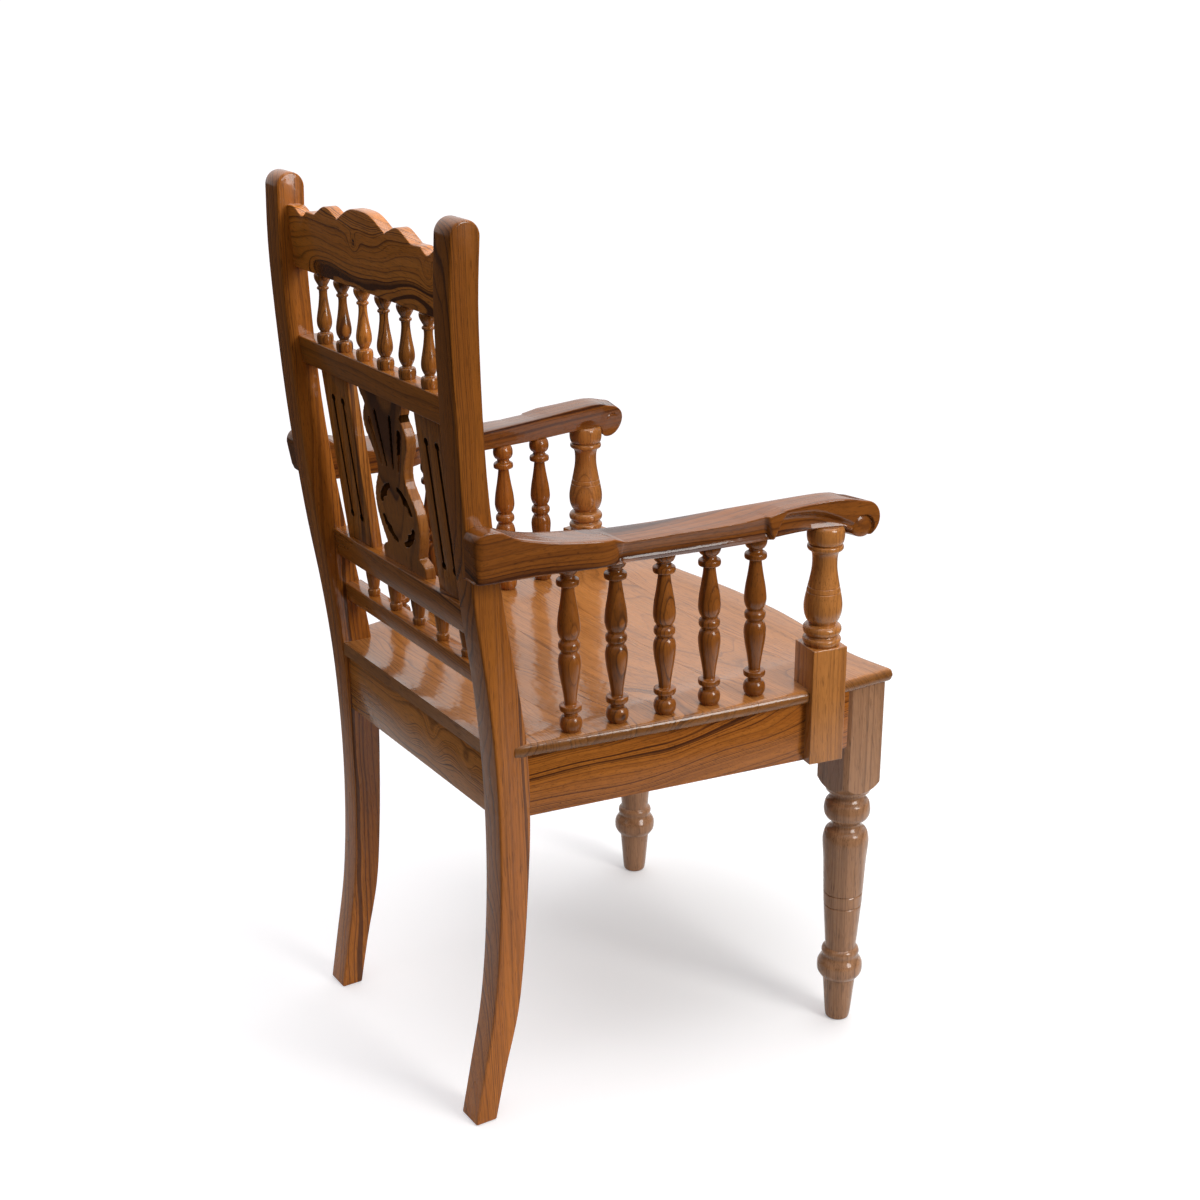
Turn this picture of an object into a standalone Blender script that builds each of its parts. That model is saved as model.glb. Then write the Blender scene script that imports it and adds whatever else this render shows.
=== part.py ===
"""A carved wooden armchair: sawn rear legs, turned front legs, arm posts and spindles, a pierced splat.

Metres, Z up, the front towards -Y and the sitter's left towards +X.
The sizes below measure Y from the heel of the rear feet; the last step moves the chair to its own centre.
"""

import math

import bmesh
import bpy
from mathutils import Matrix, Vector

# Overall
HEIGHT = 1.040
CENTRE_Y = 0.2618  # the middle of the whole depth, in front of the heels
GAP = 0.0003  # clearance at each glued face

# Rear legs: one plank each, sabre curve below the seat, raked back above it
FOOT_HALF_SPAN = 0.1961  # outer face at the floor
TOP_HALF_SPAN = 0.2225  # outer face at the top
STILE_THICK = 0.0357
STILE_SIDE = (
    # height, rear edge, depth
    (0.000, 0.0000, 0.0276),
    (0.0624, -0.0114, 0.0289),
    (0.1352, -0.0243, 0.0328),
    (0.208, -0.0314, 0.0337),
    (0.2912, -0.0346, 0.0356),
    (0.3744, -0.0336, 0.0392),
    (0.4576, -0.0289, 0.0406),
    (0.5408, -0.0197, 0.0378),
    (0.6448, -0.0044, 0.0348),
    (0.780, 0.0100, 0.0318),
    (0.936, 0.0188, 0.0329),
)
STILE_TOP_REAR = 0.0175  # rear edge just under the rounded top
STILE_TOP_DEPTH = 0.0335

# Back rails: rear face at the lower edge, rear face at the upper edge, lower edge, upper edge, depth
CREST = (0.0030, 0.0065, 0.9345, 1.0045, 0.0150)
MID_RAIL = (-0.0003, 0.0035, 0.8235, 0.8555, 0.0240)
LOWER_RAIL = (-0.0310, -0.0245, 0.5835, 0.6187, 0.0250)
BOTTOM_RAIL = (-0.0400, -0.0365, 0.5240, 0.5475, 0.0220)
BACK_TENON = 0.018
BACK_TENON_THICK = 0.010

# Crest ornament: half of its upper outline, from the middle to the end
CREST_HALF = (
    (0.000, 1.0215), (0.016, 1.0208), (0.026, 1.0188), (0.034, 1.0160), (0.041, 1.0128), (0.048, 1.0095),
    (0.054, 1.0066), (0.0575, 1.0052), (0.061, 1.0072), (0.066, 1.0090), (0.072, 1.0112), (0.078, 1.0134),
    (0.084, 1.0145), (0.090, 1.0140), (0.097, 1.0116), (0.104, 1.0083), (0.111, 1.0050), (0.117, 1.0025),
    (0.136, 1.0028), (0.140, 1.0003), (0.145, 0.9975), (0.1495, 0.9962), (0.154, 0.9972), (0.158, 0.9990),
    (0.163, 1.0018), (0.169, 1.0040), (0.176, 1.0047),
)
CREST_CHAMFER = 0.006

# Turned back spindles
UPPER_SPINDLE_PITCH = 0.0508
UPPER_SPINDLE_Y = -0.0054
LOWER_SPINDLE_PITCH = 0.0580
LOWER_SPINDLE_Y = -0.0475

# Splat and slats: thin boards in the plane of the back
BACK_RAKE = 0.1225  # rearward run for each unit of height
BOARD_FOOT_Y = -0.0325  # rear face at the top of the lower rail
BOARD_THICK = 0.0125
BOARD_TONGUE = 0.007
SLAT_INNER = 0.0822
SLAT_OUTER = 0.1484
SLAT_SLOTS = (0.1017, 0.1262)
SLOT_WIDTH = 0.0045
SLAT_SLOT_ENDS = (0.648, 0.794)
SPLAT_HALF = (
    # half width, height: a plume of petals, a waist, an oval ring, a flared foot
    (0.0530, 0.8235), (0.0510, 0.8160), (0.0430, 0.8050), (0.0447, 0.7995), (0.0490, 0.7930),
    (0.0518, 0.7855),
    (0.0520, 0.7780), (0.0487, 0.7680), (0.0415, 0.7570), (0.0362, 0.7470), (0.0333, 0.7380),
    (0.0330, 0.7290),
    (0.0362, 0.7215), (0.0405, 0.7150), (0.0450, 0.7080), (0.0492, 0.6990), (0.0515, 0.6895),
    (0.0516, 0.6760),
    (0.0482, 0.6630), (0.0430, 0.6500), (0.0392, 0.6420), (0.0392, 0.6385), (0.0440, 0.6365),
    (0.0495, 0.6330),
    (0.0515, 0.6280), (0.0515, 0.6187),
)
RING_CENTRE = 0.6815
RING_HOLE = (0.0405, 0.0370)  # half width and half height of the pierced oval
BOSS = (0.0318, 0.0290)  # half width and half height of the lobed figure inside
PLUME_SLOTS = (
    # lower end, upper end, widths there
    ((0.0055, 0.738), (0.0092, 0.807), 0.0030, 0.0050),
    ((0.0160, 0.741), (0.0300, 0.796), 0.0030, 0.0060),
)

# Square block at the top of each front leg
LEG_X = 0.2330
LEG_Y = -0.5010
LEG_BLOCK = 0.0580

# Seat frame and boards; the seat rises a little towards the front
SEAT_BASE_Z = 0.4555  # underside of the boards at the rear legs
SEAT_RISE = 0.0135
SEAT_THICK = 0.0163
SEAT_REAR_Y = -0.0300
REAR_RAIL_Y = -0.0362
SEAT_DATUM_Y = -0.0720
SEAT_DISH = 0.0085
SEAT_ROUND = 0.0070
SEAT_BOARDS = 5
SEAT_SIDE = ((-0.0300, 0.2040), (-0.0720, 0.2130), (-0.1520, 0.2285), (-0.2700, 0.2490), (-0.3940, 0.2665),
             (-0.4300, 0.2680), (-0.4640, 0.2680), (-0.5600, 0.2690))
SEAT_FRONT = (
    (0.000, -0.5425), (0.045, -0.5417), (0.090, -0.5378), (0.135, -0.5315), (0.175, -0.5270),
    (0.215, -0.5268), (0.270, -0.5345)
)
RAIL_BASE_Z = 0.3822
RAIL_RISE = 0.0140
SIDE_RAIL_SET_IN = 0.0005  # inside the outer face of the front leg
SIDE_RAIL_END = LEG_X + LEG_BLOCK / 2 - SIDE_RAIL_SET_IN
SIDE_RAIL_OUTER = (
    (-0.0660, 0.2045), (-0.4080, 0.2594), (-0.4225, SIDE_RAIL_END), (LEG_Y + LEG_BLOCK / 2, SIDE_RAIL_END)
)
SIDE_RAIL_THICK = 0.024
REAR_RAIL_THICK = 0.023
FRONT_RAIL_SET_IN = 0.0050  # behind the front face of the front legs
FRONT_RAIL_Y = LEG_Y - LEG_BLOCK / 2 + FRONT_RAIL_SET_IN
FRONT_RAIL_THICK = 0.022
SEAT_TENON = 0.022
SEAT_TENON_THICK = 0.010
SEAT_TENON_HEIGHT = 0.044

# Front legs: turned below the square block
LEG_BLOCK_CHAMFER = 0.0050
LEG_PROFILE = (
    # radius, height, from the seat down
    (0.0480, 0.3400), (0.0420, 0.3340), (0.0345, 0.3260), (0.0285, 0.3200), (0.0265, 0.3160),
    (0.0195, 0.3095), (0.0262, 0.3010), (0.0280, 0.2905), (0.0265, 0.2805),
    (0.0178, 0.2705), (0.0255, 0.2620), (0.0280, 0.2500), (0.0265, 0.2250),
    (0.0242, 0.1790), (0.0232, 0.1765), (0.0240, 0.1740), (0.0236, 0.1632), (0.0226, 0.1607),
    (0.0232, 0.1582),
    (0.0190, 0.1015), (0.0230, 0.0965), (0.0225, 0.0870), (0.0275, 0.0775),
    (0.0278, 0.0700), (0.0255, 0.0620), (0.0198, 0.0550), (0.0162, 0.0150), (0.0150, 0.0040),
    (0.0125, 0.0000),
)

# Arm posts: square base lapped over the side rail, turned above
POST_X = 0.2543
POST_Y = -0.4322
POST_SIDE = 0.0440
POST_TURN = math.radians(9.4)
POST_FOOT_Z = 0.3860
POST_BLOCK_TOP = 0.5270
POST_TOP = 0.6686
POST_PIN = 0.0075
POST_PIN_LENGTH = 0.014
POST_PROFILE = (
    # radius, height, from the arm down to the square
    (0.0195, 0.6686), (0.0214, 0.6640), (0.0210, 0.6530), (0.0180, 0.6480),
    (0.0205, 0.6440), (0.0160, 0.6375), (0.0142, 0.6290), (0.0150, 0.6160), (0.0210, 0.5860),
    (0.0222, 0.5740), (0.0208, 0.5630), (0.0158, 0.5530),
    (0.0218, 0.5490), (0.0218, 0.5425), (0.0182, 0.5385), (0.0222, 0.5345), (0.0205, 0.5285),
)

# Arm spindles: the same turning above and below the middle bead, with a ball at each end; all lean back
ARM_SPINDLES = ((0.2048, -0.1254), (0.2123, -0.1810), (0.2218, -0.2380), (0.2282, -0.2940), (0.2352, -0.3520))
SPINDLE_LEAN = 0.0195
SPINDLE_HALF = (
    # radius, distance from the middle as a share of the half height
    (0.0121, 0.000), (0.0116, 0.048), (0.0092, 0.078), (0.0119, 0.130), (0.0127, 0.210),
    (0.0095, 0.450), (0.0068, 0.665), (0.0124, 0.700), (0.0124, 0.750), (0.0078, 0.800), (0.0122, 0.865),
    (0.0126, 0.925), (0.0095, 1.000),
)
PIN_RADIUS = 0.0040
PIN_LENGTH = 0.0080
UPPER_SPINDLE_PROFILE = (
    # radius, share of the height, from the crest down
    (0.0092, 1.000), (0.0086, 0.920), (0.0056, 0.830), (0.0050, 0.815), (0.0066, 0.795), (0.0064, 0.775),
    (0.0048, 0.720), (0.0060, 0.550), (0.0084, 0.350), (0.0085, 0.280), (0.0055, 0.175),
    (0.0088, 0.145), (0.0093, 0.070), (0.0088, 0.000),
)
LOWER_SPINDLE_PROFILE = (
    (0.0088, 1.000), (0.0090, 0.800), (0.0066, 0.280), (0.0058, 0.235), (0.0073, 0.180), (0.0066, 0.000),
)

# Arms: sawn to this side outline, then to this plan, lapped over the outside of the rear legs
ARM_TOP = (
    (0.0075, 0.7150), (0.0065, 0.7210), (0.0020, 0.7265), (-0.0060, 0.7288), (-0.0130, 0.7288),
    (-0.0220, 0.7262),
    (-0.0330, 0.7195),
    (-0.0470, 0.7130), (-0.0700, 0.7062), (-0.0950, 0.7015), (-0.1300, 0.6976), (-0.1650, 0.6958),
    (-0.2400, 0.6962), (-0.3000, 0.6978), (-0.3500, 0.6993), (-0.4000, 0.7013), (-0.4350, 0.7018),
    (-0.4560, 0.6992),
)
ARM_UNDER = (
    (-0.4550, 0.6625), (-0.4480, 0.6680), (-0.4350, 0.6692), (-0.3900, 0.6694), (-0.3400, 0.6692),
    (-0.3000, 0.6698),
    (-0.2400, 0.6705), (-0.1650, 0.6722), (-0.1300, 0.6725), (-0.0700, 0.6738), (0.0020, 0.6753),
    (0.0060, 0.6775),
)
SCROLL_Y = -0.4705
SCROLL_Z = 0.6745
SCROLL_RADIUS = 0.0213
ARM_INNER = (
    # distance along, distance from the middle of the chair
    (0.0100, 0.1880), (-0.1240, 0.1890), (-0.1650, 0.1975), (-0.2000, 0.2035), (-0.2400, 0.2092),
    (-0.3000, 0.2163),
    (-0.3500, 0.2230), (-0.4000, 0.2312), (-0.4400, 0.2370), (-0.4950, 0.2410),
)
ARM_OUTER = (
    (0.0100, 0.2410), (-0.0800, 0.2470), (-0.1550, 0.2560), (-0.1680, 0.2560), (-0.2300, 0.2610),
    (-0.3000, 0.2665),
    (-0.3500, 0.2675), (-0.3900, 0.2680), (-0.4200, 0.2705), (-0.4500, 0.2750), (-0.4950, 0.2770),
)
ARM_LIFT = (
    # distance along, how much higher the outer top edge is than the inner one
    (0.0060, 0.0000), (-0.0136, 0.0008), (-0.0600, 0.0040), (-0.1300, 0.0048), (-0.1550, 0.0042),
    (-0.1680, 0.0000),
    (-0.2300, -0.0005), (-0.3060, -0.0035), (-0.3400, -0.0025), (-0.3650, 0.0010), (-0.4500, 0.0010),
    (-0.4700, 0.0000),
)
# the carving of the outer face: a cove from the rear block's rounded end to the leaf, then a bowl
COVE = (
    # share of the height, depth
    (-0.20, 0.0008), (0.00, 0.0010), (0.22, 0.0045), (0.36, 0.0078), (0.55, 0.0075), (0.80, 0.0055),
    (1.00, 0.0035), (1.20, 0.0035),
)
BLOCK_END = (-0.1280, -0.1600, 0.0100)
LEAF_REAR = (-0.3470, -0.3394)
LEAF_FRONT = (-0.3480, -0.3650)
BOWL = (
    # distance along, height of the deepest line, height of the upper border, depth
    (-0.3500, 0.6850, 0.6980, 0.0080), (-0.3700, 0.6860, 0.6978, 0.0092), (-0.3850, 0.6850, 0.6972, 0.0095),
    (-0.4055, 0.6825, 0.6958, 0.0092), (-0.4330, 0.6770, 0.6850, 0.0075), (-0.4540, 0.6690, 0.6740, 0.0040),
    (-0.4600, 0.6660, 0.6690, 0.0000),
)

for old in list(bpy.data.objects):
    bpy.data.objects.remove(old, do_unlink=True)


def wood(name, colour, roughness):
    material = bpy.data.materials.new(name)
    material.use_nodes = True
    shader = material.node_tree.nodes["Principled BSDF"]
    shader.inputs["Base Color"].default_value = (*colour, 1.0)
    shader.inputs["Roughness"].default_value = roughness
    shader.inputs["Metallic"].default_value = 0.0
    return material


SAWN = wood("Lacquered teak, sawn", (0.28, 0.12, 0.035), 0.32)
TURNED = wood("Lacquered teak, turned", (0.19, 0.075, 0.024), 0.30)
SEATING = wood("Lacquered teak, seat", (0.33, 0.16, 0.06), 0.28)
CARVED = wood("Lacquered teak, carved", (0.23, 0.10, 0.030), 0.34)


def place(name, mesh, material=None):
    made = bpy.data.objects.new(name, mesh)
    bpy.context.scene.collection.objects.link(made)
    if material and not mesh.materials:
        mesh.materials.append(material)
    return made


def solid(name, points, faces, material=None):
    mesh = bpy.data.meshes.new(name)
    mesh.from_pydata([tuple(point) for point in points], [], faces)
    shape = bmesh.new()
    shape.from_mesh(mesh)
    bmesh.ops.recalc_face_normals(shape, faces=shape.faces)
    if shape.calc_volume(signed=True) < 0:
        bmesh.ops.reverse_faces(shape, faces=shape.faces)
    shape.to_mesh(mesh)
    shape.free()
    return place(name, mesh, material)


def prism(name, outline, low, high, axes, material=None):
    """A closed outline carried straight from low to high; axes turns (u, v, w) into a point."""
    count = len(outline)
    points = [axes(u, v, low) for u, v in outline] + [axes(u, v, high) for u, v in outline]
    faces = [tuple(range(count)), tuple(range(count, 2 * count))]
    faces += [(i, (i + 1) % count, count + (i + 1) % count, count + i) for i in range(count)]
    return solid(name, points, faces, material)


def block(name, low, high, material=None):
    """A box between two opposite corners."""
    outline = [(low[0], low[1]), (high[0], low[1]), (high[0], high[1]), (low[0], high[1])]
    return prism(name, outline, low[2], high[2], lambda x, y, z: (x, y, z), material)


def helper(shape):
    shape.hide_render = True
    shape.display_type = "WIRE"
    return shape


def boolean(target, tool, operation="DIFFERENCE"):
    helper(tool)
    step = target.modifiers.new(tool.name, "BOOLEAN")
    step.operation = operation
    step.solver = "EXACT"
    step.object = tool


def joined(name, shapes):
    """One helper made of several separate solids."""
    whole = bmesh.new()
    for shape in shapes:
        part = shape.data.copy()
        part.transform(shape.matrix_basis)
        whole.from_mesh(part)
        bpy.data.objects.remove(shape, do_unlink=True)
    mesh = bpy.data.meshes.new(name)
    whole.to_mesh(mesh)
    whole.free()
    return helper(place(name, mesh))


def ease(target, width, segments=1, angle=40.0):
    step = target.modifiers.new("Eased edges", "BEVEL")
    step.width = width
    step.segments = segments
    step.limit_method = "ANGLE"
    step.angle_limit = math.radians(angle)
    return step


def smooth(target, angle=35.0):
    for face in target.data.polygons:
        face.use_smooth = True
    target.data.set_sharp_from_angle(angle=math.radians(angle))


def turned(name, profile, steps, material, at=(0.0, 0.0, 0.0)):
    """A half outline turned about the vertical; it runs down the outer side."""
    points = [(0.0, 0.0, profile[0][1])] + [(r, 0.0, z) for r, z in profile] + [(0.0, 0.0, profile[-1][1])]
    mesh = bpy.data.meshes.new(name)
    mesh.from_pydata(points, [(i, i + 1) for i in range(len(points) - 1)], [])
    made = place(name, mesh, material)
    made.location = at
    lathe(made, steps)
    return made


def lathe(made, steps):
    spin = made.modifiers.new("Turning", "SCREW")
    spin.axis = "Z"
    spin.angle = math.tau
    spin.steps = steps
    spin.render_steps = steps
    spin.use_merge_vertices = True
    spin.merge_threshold = 0.00001
    spin.use_smooth_shade = True


def hole(name, rows, at, steps=10):
    """A closed upright hole of stepped widths; rows of (radius, height) run upwards."""
    points = [(at[0] + r * math.cos(math.tau * i / steps), at[1] + r * math.sin(math.tau * i / steps), z)
              for r, z in rows for i in range(steps)]
    faces = [tuple(range(steps)), tuple(range(len(points) - steps, len(points)))]
    for k in range(0, len(points) - steps, steps):
        faces += [
            (k + i, k + (i + 1) % steps, k + steps + (i + 1) % steps, k + steps + i)
            for i in range(steps)
        ]
    return solid(name, points, faces)


def leaning(shape, foot):
    """A shape made on its own upright axis, set on its foot and tipped back a little."""
    shape.location = foot
    shape.rotation_euler = (-SPINDLE_LEAN, 0.0, 0.0)
    return shape


def along(table, value):
    """Straight reading between the rows of a table; the rows may run either way."""
    rows = sorted(table)
    if value <= rows[0][0]:
        return rows[0][1]
    for (a, p), (b, q) in zip(rows, rows[1:]):
        if value <= b:
            return p + (q - p) * (value - a) / (b - a)
    return rows[-1][1]


def curved(rows, parts):
    """A smooth open line through the rows."""
    out = []
    for i in range(len(rows) - 1):
        a, b = Vector(rows[max(i - 1, 0)]), Vector(rows[i])
        c, d = Vector(rows[i + 1]), Vector(rows[min(i + 2, len(rows) - 1)])
        for k in range(parts):
            t = k / parts
            bend = 2 * a - 5 * b + 4 * c - d
            twist = 3 * b - a - 3 * c + d
            out.append(0.5 * ((2 * b) + (c - a) * t + bend * t**2 + twist * t**3))
    return out + [Vector(rows[-1])]


def seat_base(y):
    return SEAT_BASE_Z + SEAT_RISE * (SEAT_DATUM_Y - y)


def rail_base(y):
    return RAIL_BASE_Z + RAIL_RISE * (SEAT_DATUM_Y - y)


def stile_outer(z):
    return FOOT_HALF_SPAN + (TOP_HALF_SPAN - FOOT_HALF_SPAN) * z / HEIGHT


def back_face(z):
    """The rear face of the splat and slats."""
    return BOARD_FOOT_Y + BACK_RAKE * (z - LOWER_RAIL[3])


# Rear legs
def stile_outline(grow):
    rear = [Vector((y, z)) for z, y, depth in STILE_SIDE]
    front = [Vector((y - depth, z)) for z, y, depth in STILE_SIDE]
    radius = STILE_TOP_DEPTH / 2
    middle = Vector((STILE_TOP_REAR - radius, HEIGHT - radius))
    rear = curved(rear + [Vector((STILE_TOP_REAR, HEIGHT - radius))], 2)
    front = curved(front + [Vector((STILE_TOP_REAR - STILE_TOP_DEPTH, HEIGHT - radius))], 2)
    arc = [
        middle + radius * Vector((math.cos(a), math.sin(a)))
        for a in (math.pi * k / 10 for k in range(1, 10))
    ]
    line = rear + arc + front[::-1]
    if not grow:
        return line
    out = []
    for i, point in enumerate(line):
        edge = (line[(i + 1) % len(line)] - line[i - 1]).normalized()
        out.append(point + grow * Vector((edge.y, -edge.x)))
    return out


def stile(name, side, grow=0.0, material=None):
    def axes(y, z, across):
        return (side * (stile_outer(z) - across), y, z)

    return prism(name, stile_outline(grow), -grow, STILE_THICK + grow, axes, material)


def beyond_stile(side, grow):
    """All the room outside the inner face of one rear leg."""
    def axes(y, z, across):
        return (side * (stile_outer(z) - across), y, z)

    return prism(
        "space", [(-0.20, 0.30), (0.10, 0.30), (0.10, 1.10), (-0.20, 1.10)], -0.08, STILE_THICK + grow, axes
    )


rear_legs = {
    side: stile(f"rear_leg_{label}", side, 0.0, SAWN) for side, label in ((1, "left"), (-1, "right"))
}

# Front legs
front_legs = {}
for side, label in ((1, "left"), (-1, "right")):
    profile = [(0.048, SEAT_BASE_Z + 0.02)] + list(LEG_PROFILE)
    leg = turned(f"front_leg_{label}", profile, 14, TURNED, (side * LEG_X, LEG_Y, 0.0))
    half = LEG_BLOCK / 2
    cut = LEG_BLOCK_CHAMFER
    square = [(half - cut, -half), (half, -half + cut), (half, half - cut), (half - cut, half),
              (cut - half, half), (-half, half - cut), (-half, cut - half), (cut - half, -half)]
    core = prism(f"front_leg_{label}_square", square, 0, 1,
                 lambda u, v, w, side=side: (
                     side * LEG_X + u, LEG_Y + v, seat_base(LEG_Y + v) - GAP if w else -0.01))
    boolean(leg, core, "INTERSECT")
    front_legs[side] = leg


def leg_box(side, grow):
    half = LEG_BLOCK / 2 + grow
    return block(
        "leg_space", (side * LEG_X - half, LEG_Y - half, 0.30), (side * LEG_X + half, LEG_Y + half, 0.50)
    )


# Arm posts
def post_square(name, side, low, high, grow=0.0, material=None):
    half = POST_SIDE / 2 + grow
    spin = Matrix.Rotation(side * POST_TURN, 2)
    middle = Vector((side * POST_X, POST_Y))
    outline = [
        tuple(middle + spin @ Vector(corner))
        for corner in ((half, -half), (half, half), (-half, half), (-half, -half))
    ]
    return prism(name, outline, low, high, lambda x, y, z: (x, y, z), material)


# Side rails, lapped by the posts and tenoned into both legs
def side_rail(name, side, grow=0.0, material=None):
    outer = [(y, x) for y, x in SIDE_RAIL_OUTER]
    thick = SIDE_RAIL_THICK / math.cos(POST_TURN)
    plan = [(x + grow, y) for y, x in outer] + [(x - thick - grow, y) for y, x in reversed(outer)]
    points = [(side * x, y, rail_base(y) - grow) for x, y in plan] + [
        (side * x, y, seat_base(y) - GAP + grow) for x, y in plan
    ]
    count = len(plan)
    faces = [tuple(range(count)), tuple(range(count, 2 * count))]
    faces += [(i, (i + 1) % count, count + (i + 1) % count, count + i) for i in range(count)]
    return solid(name, points, faces, material)


def rail_tenon(side, face_y, x, into, grow):
    """A tenon that crosses the end of a side rail at face_y and enters the leg by into."""
    middle_z = (rail_base(face_y) + seat_base(face_y)) / 2
    reach = SEAT_TENON_THICK / 2 + grow
    tall = SEAT_TENON_HEIGHT / 2 + grow
    ends = sorted((face_y + into + math.copysign(grow, into), face_y - math.copysign(0.015, into)))
    return block(
        "tenon", (side * x - reach, ends[0], middle_z - tall), (side * x + reach, ends[1], middle_z + tall)
    )


def rear_tenon(side, grow):
    x = along(SIDE_RAIL_OUTER, -0.07) - SIDE_RAIL_THICK / 2
    return rail_tenon(side, -0.0710, x, SEAT_TENON, grow)


def front_tenon(side, grow):
    x = SIDE_RAIL_OUTER[-1][1] - SIDE_RAIL_THICK / 2 - 0.001
    return rail_tenon(side, LEG_Y + LEG_BLOCK / 2, x, -SEAT_TENON, grow)


side_rails = {}
for side, label in ((1, "left"), (-1, "right")):
    rail = side_rail(f"side_rail_{label}", side, 0.0, SAWN)
    boolean(rail, stile(f"side_rail_{label}_shoulder", side, GAP))
    boolean(rail, joined(f"side_rail_{label}_end", [leg_box(side, GAP)]))
    boolean(
        rail, joined(f"side_rail_{label}_tenons", [rear_tenon(side, 0.0), front_tenon(side, 0.0)]), "UNION"
    )
    boolean(rear_legs[side], rear_tenon(side, GAP))
    side_rails[side] = rail

# Rear and front rails
rear_rail_low = rail_base(SEAT_DATUM_Y)
rear_rail_high = seat_base(REAR_RAIL_Y) - GAP
rear_rail = block(
    "rear_rail", (-0.19, REAR_RAIL_Y - REAR_RAIL_THICK, rear_rail_low), (0.19, REAR_RAIL_Y, rear_rail_high),
    SAWN
)
front_rail_low = rail_base(FRONT_RAIL_Y)
front_rail_high = seat_base(FRONT_RAIL_Y + FRONT_RAIL_THICK) - GAP
front_rail = block(
    "front_rail", (-0.21, FRONT_RAIL_Y, front_rail_low),
    (0.21, FRONT_RAIL_Y + FRONT_RAIL_THICK, front_rail_high), SAWN
)


def frame_tenons(grow):
    tall = SEAT_TENON_HEIGHT / 2 + grow
    thick = SEAT_TENON_THICK / 2 + grow
    shapes = {}
    z = (rear_rail_low + rear_rail_high) / 2
    y = REAR_RAIL_Y - 0.0100
    inner = stile_outer(z) - STILE_THICK
    for side in (1, -1):
        ends = sorted((side * (inner - 0.015), side * (inner + 0.014 + grow)))
        shapes["rear", side] = block("tenon", (ends[0], y - thick, z - tall), (ends[1], y + thick, z + tall))
    z = (front_rail_low + front_rail_high) / 2
    y = FRONT_RAIL_Y + FRONT_RAIL_THICK / 2
    inner = LEG_X - LEG_BLOCK / 2
    for side in (1, -1):
        ends = sorted((side * (inner - 0.015), side * (inner + 0.018 + grow)))
        shapes["front", side] = block("tenon", (ends[0], y - thick, z - tall), (ends[1], y + thick, z + tall))
    return shapes


boolean(rear_rail, joined("rear_rail_shoulders", [beyond_stile(1, GAP), beyond_stile(-1, GAP)]))
boolean(front_rail, joined("front_rail_shoulders", [leg_box(1, GAP), leg_box(-1, GAP)]))
plain = frame_tenons(0.0)
boolean(rear_rail, joined("rear_rail_tenons", [plain["rear", 1], plain["rear", -1]]), "UNION")
boolean(front_rail, joined("front_rail_tenons", [plain["front", 1], plain["front", -1]]), "UNION")
wide = frame_tenons(GAP)
for side, label in ((1, "left"), (-1, "right")):
    boolean(rear_legs[side], wide["rear", side])
    boolean(front_legs[side], wide["front", side])
    boolean(front_legs[side], front_tenon(side, GAP))

for side, label in ((1, "left"), (-1, "right")):
    post = post_square(f"arm_post_{label}", side, POST_FOOT_Z, POST_BLOCK_TOP, 0.0, TURNED)
    boolean(post, side_rail(f"arm_post_{label}_lap", side, GAP))
    profile = [(POST_PIN, POST_TOP + POST_PIN_LENGTH), (POST_PIN, POST_TOP)] + list(POST_PROFILE)
    profile += [(0.0190, POST_BLOCK_TOP), (0.0190, POST_BLOCK_TOP - 0.004)]
    baluster = turned(f"arm_post_{label}_turning", profile, 12, TURNED, (side * POST_X, POST_Y, 0.0))
    boolean(post, baluster, "UNION")

# Back rails
def back_rail(name, sizes, material):
    low_rear, high_rear, low, high, depth = sizes
    outline = [(low_rear, low), (high_rear, high), (high_rear - depth, high), (low_rear - depth, low)]
    return prism(name, outline, -0.20, 0.20, lambda y, z, x: (x, y, z), material)


def back_tenons(sizes, height, side, grow):
    low_rear, high_rear, low, high, depth = sizes
    z = (low + high) / 2
    y = (low_rear + high_rear) / 2 - depth / 2
    inner = stile_outer(z) - STILE_THICK
    ends = sorted((side * (inner - 0.012), side * (inner + BACK_TENON + grow)))
    thick = BACK_TENON_THICK / 2 + grow
    return block(
        "tenon", (ends[0], y - thick, z - height / 2 - grow), (ends[1], y + thick, z + height / 2 + grow)
    )


def crest_outline():
    right = [(x, z) for x, z in CREST_HALF] + [(0.20, CREST[3])]
    left = [(-x, z) for x, z in reversed(right[1:])]
    return left + right + [(0.20, CREST[2]), (-0.20, CREST[2])]


def crest_axes(x, z, share):
    low_rear, high_rear, low, high, depth = CREST
    rear = low_rear + (high_rear - low_rear) * (z - low) / (high - low)
    return (x, rear - depth * share, z)


crest = prism("crest_rail", crest_outline(), 0.0, 1.0, crest_axes, CARVED)
corner = [(0.010, -0.010), (0.010, CREST_CHAMFER), (-0.001 - CREST_CHAMFER * 0.7, -0.010)]
chamfer = prism("crest_rail_chamfer", corner, -0.25, 0.25, lambda y, z, x: (x, CREST[0] + y, CREST[2] + z))
mid_rail = back_rail("mid_rail", MID_RAIL, SAWN)
lower_rail = back_rail("lower_rail", LOWER_RAIL, SAWN)
bottom_rail = back_rail("bottom_rail", BOTTOM_RAIL, SAWN)
boolean(crest, chamfer)
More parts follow.
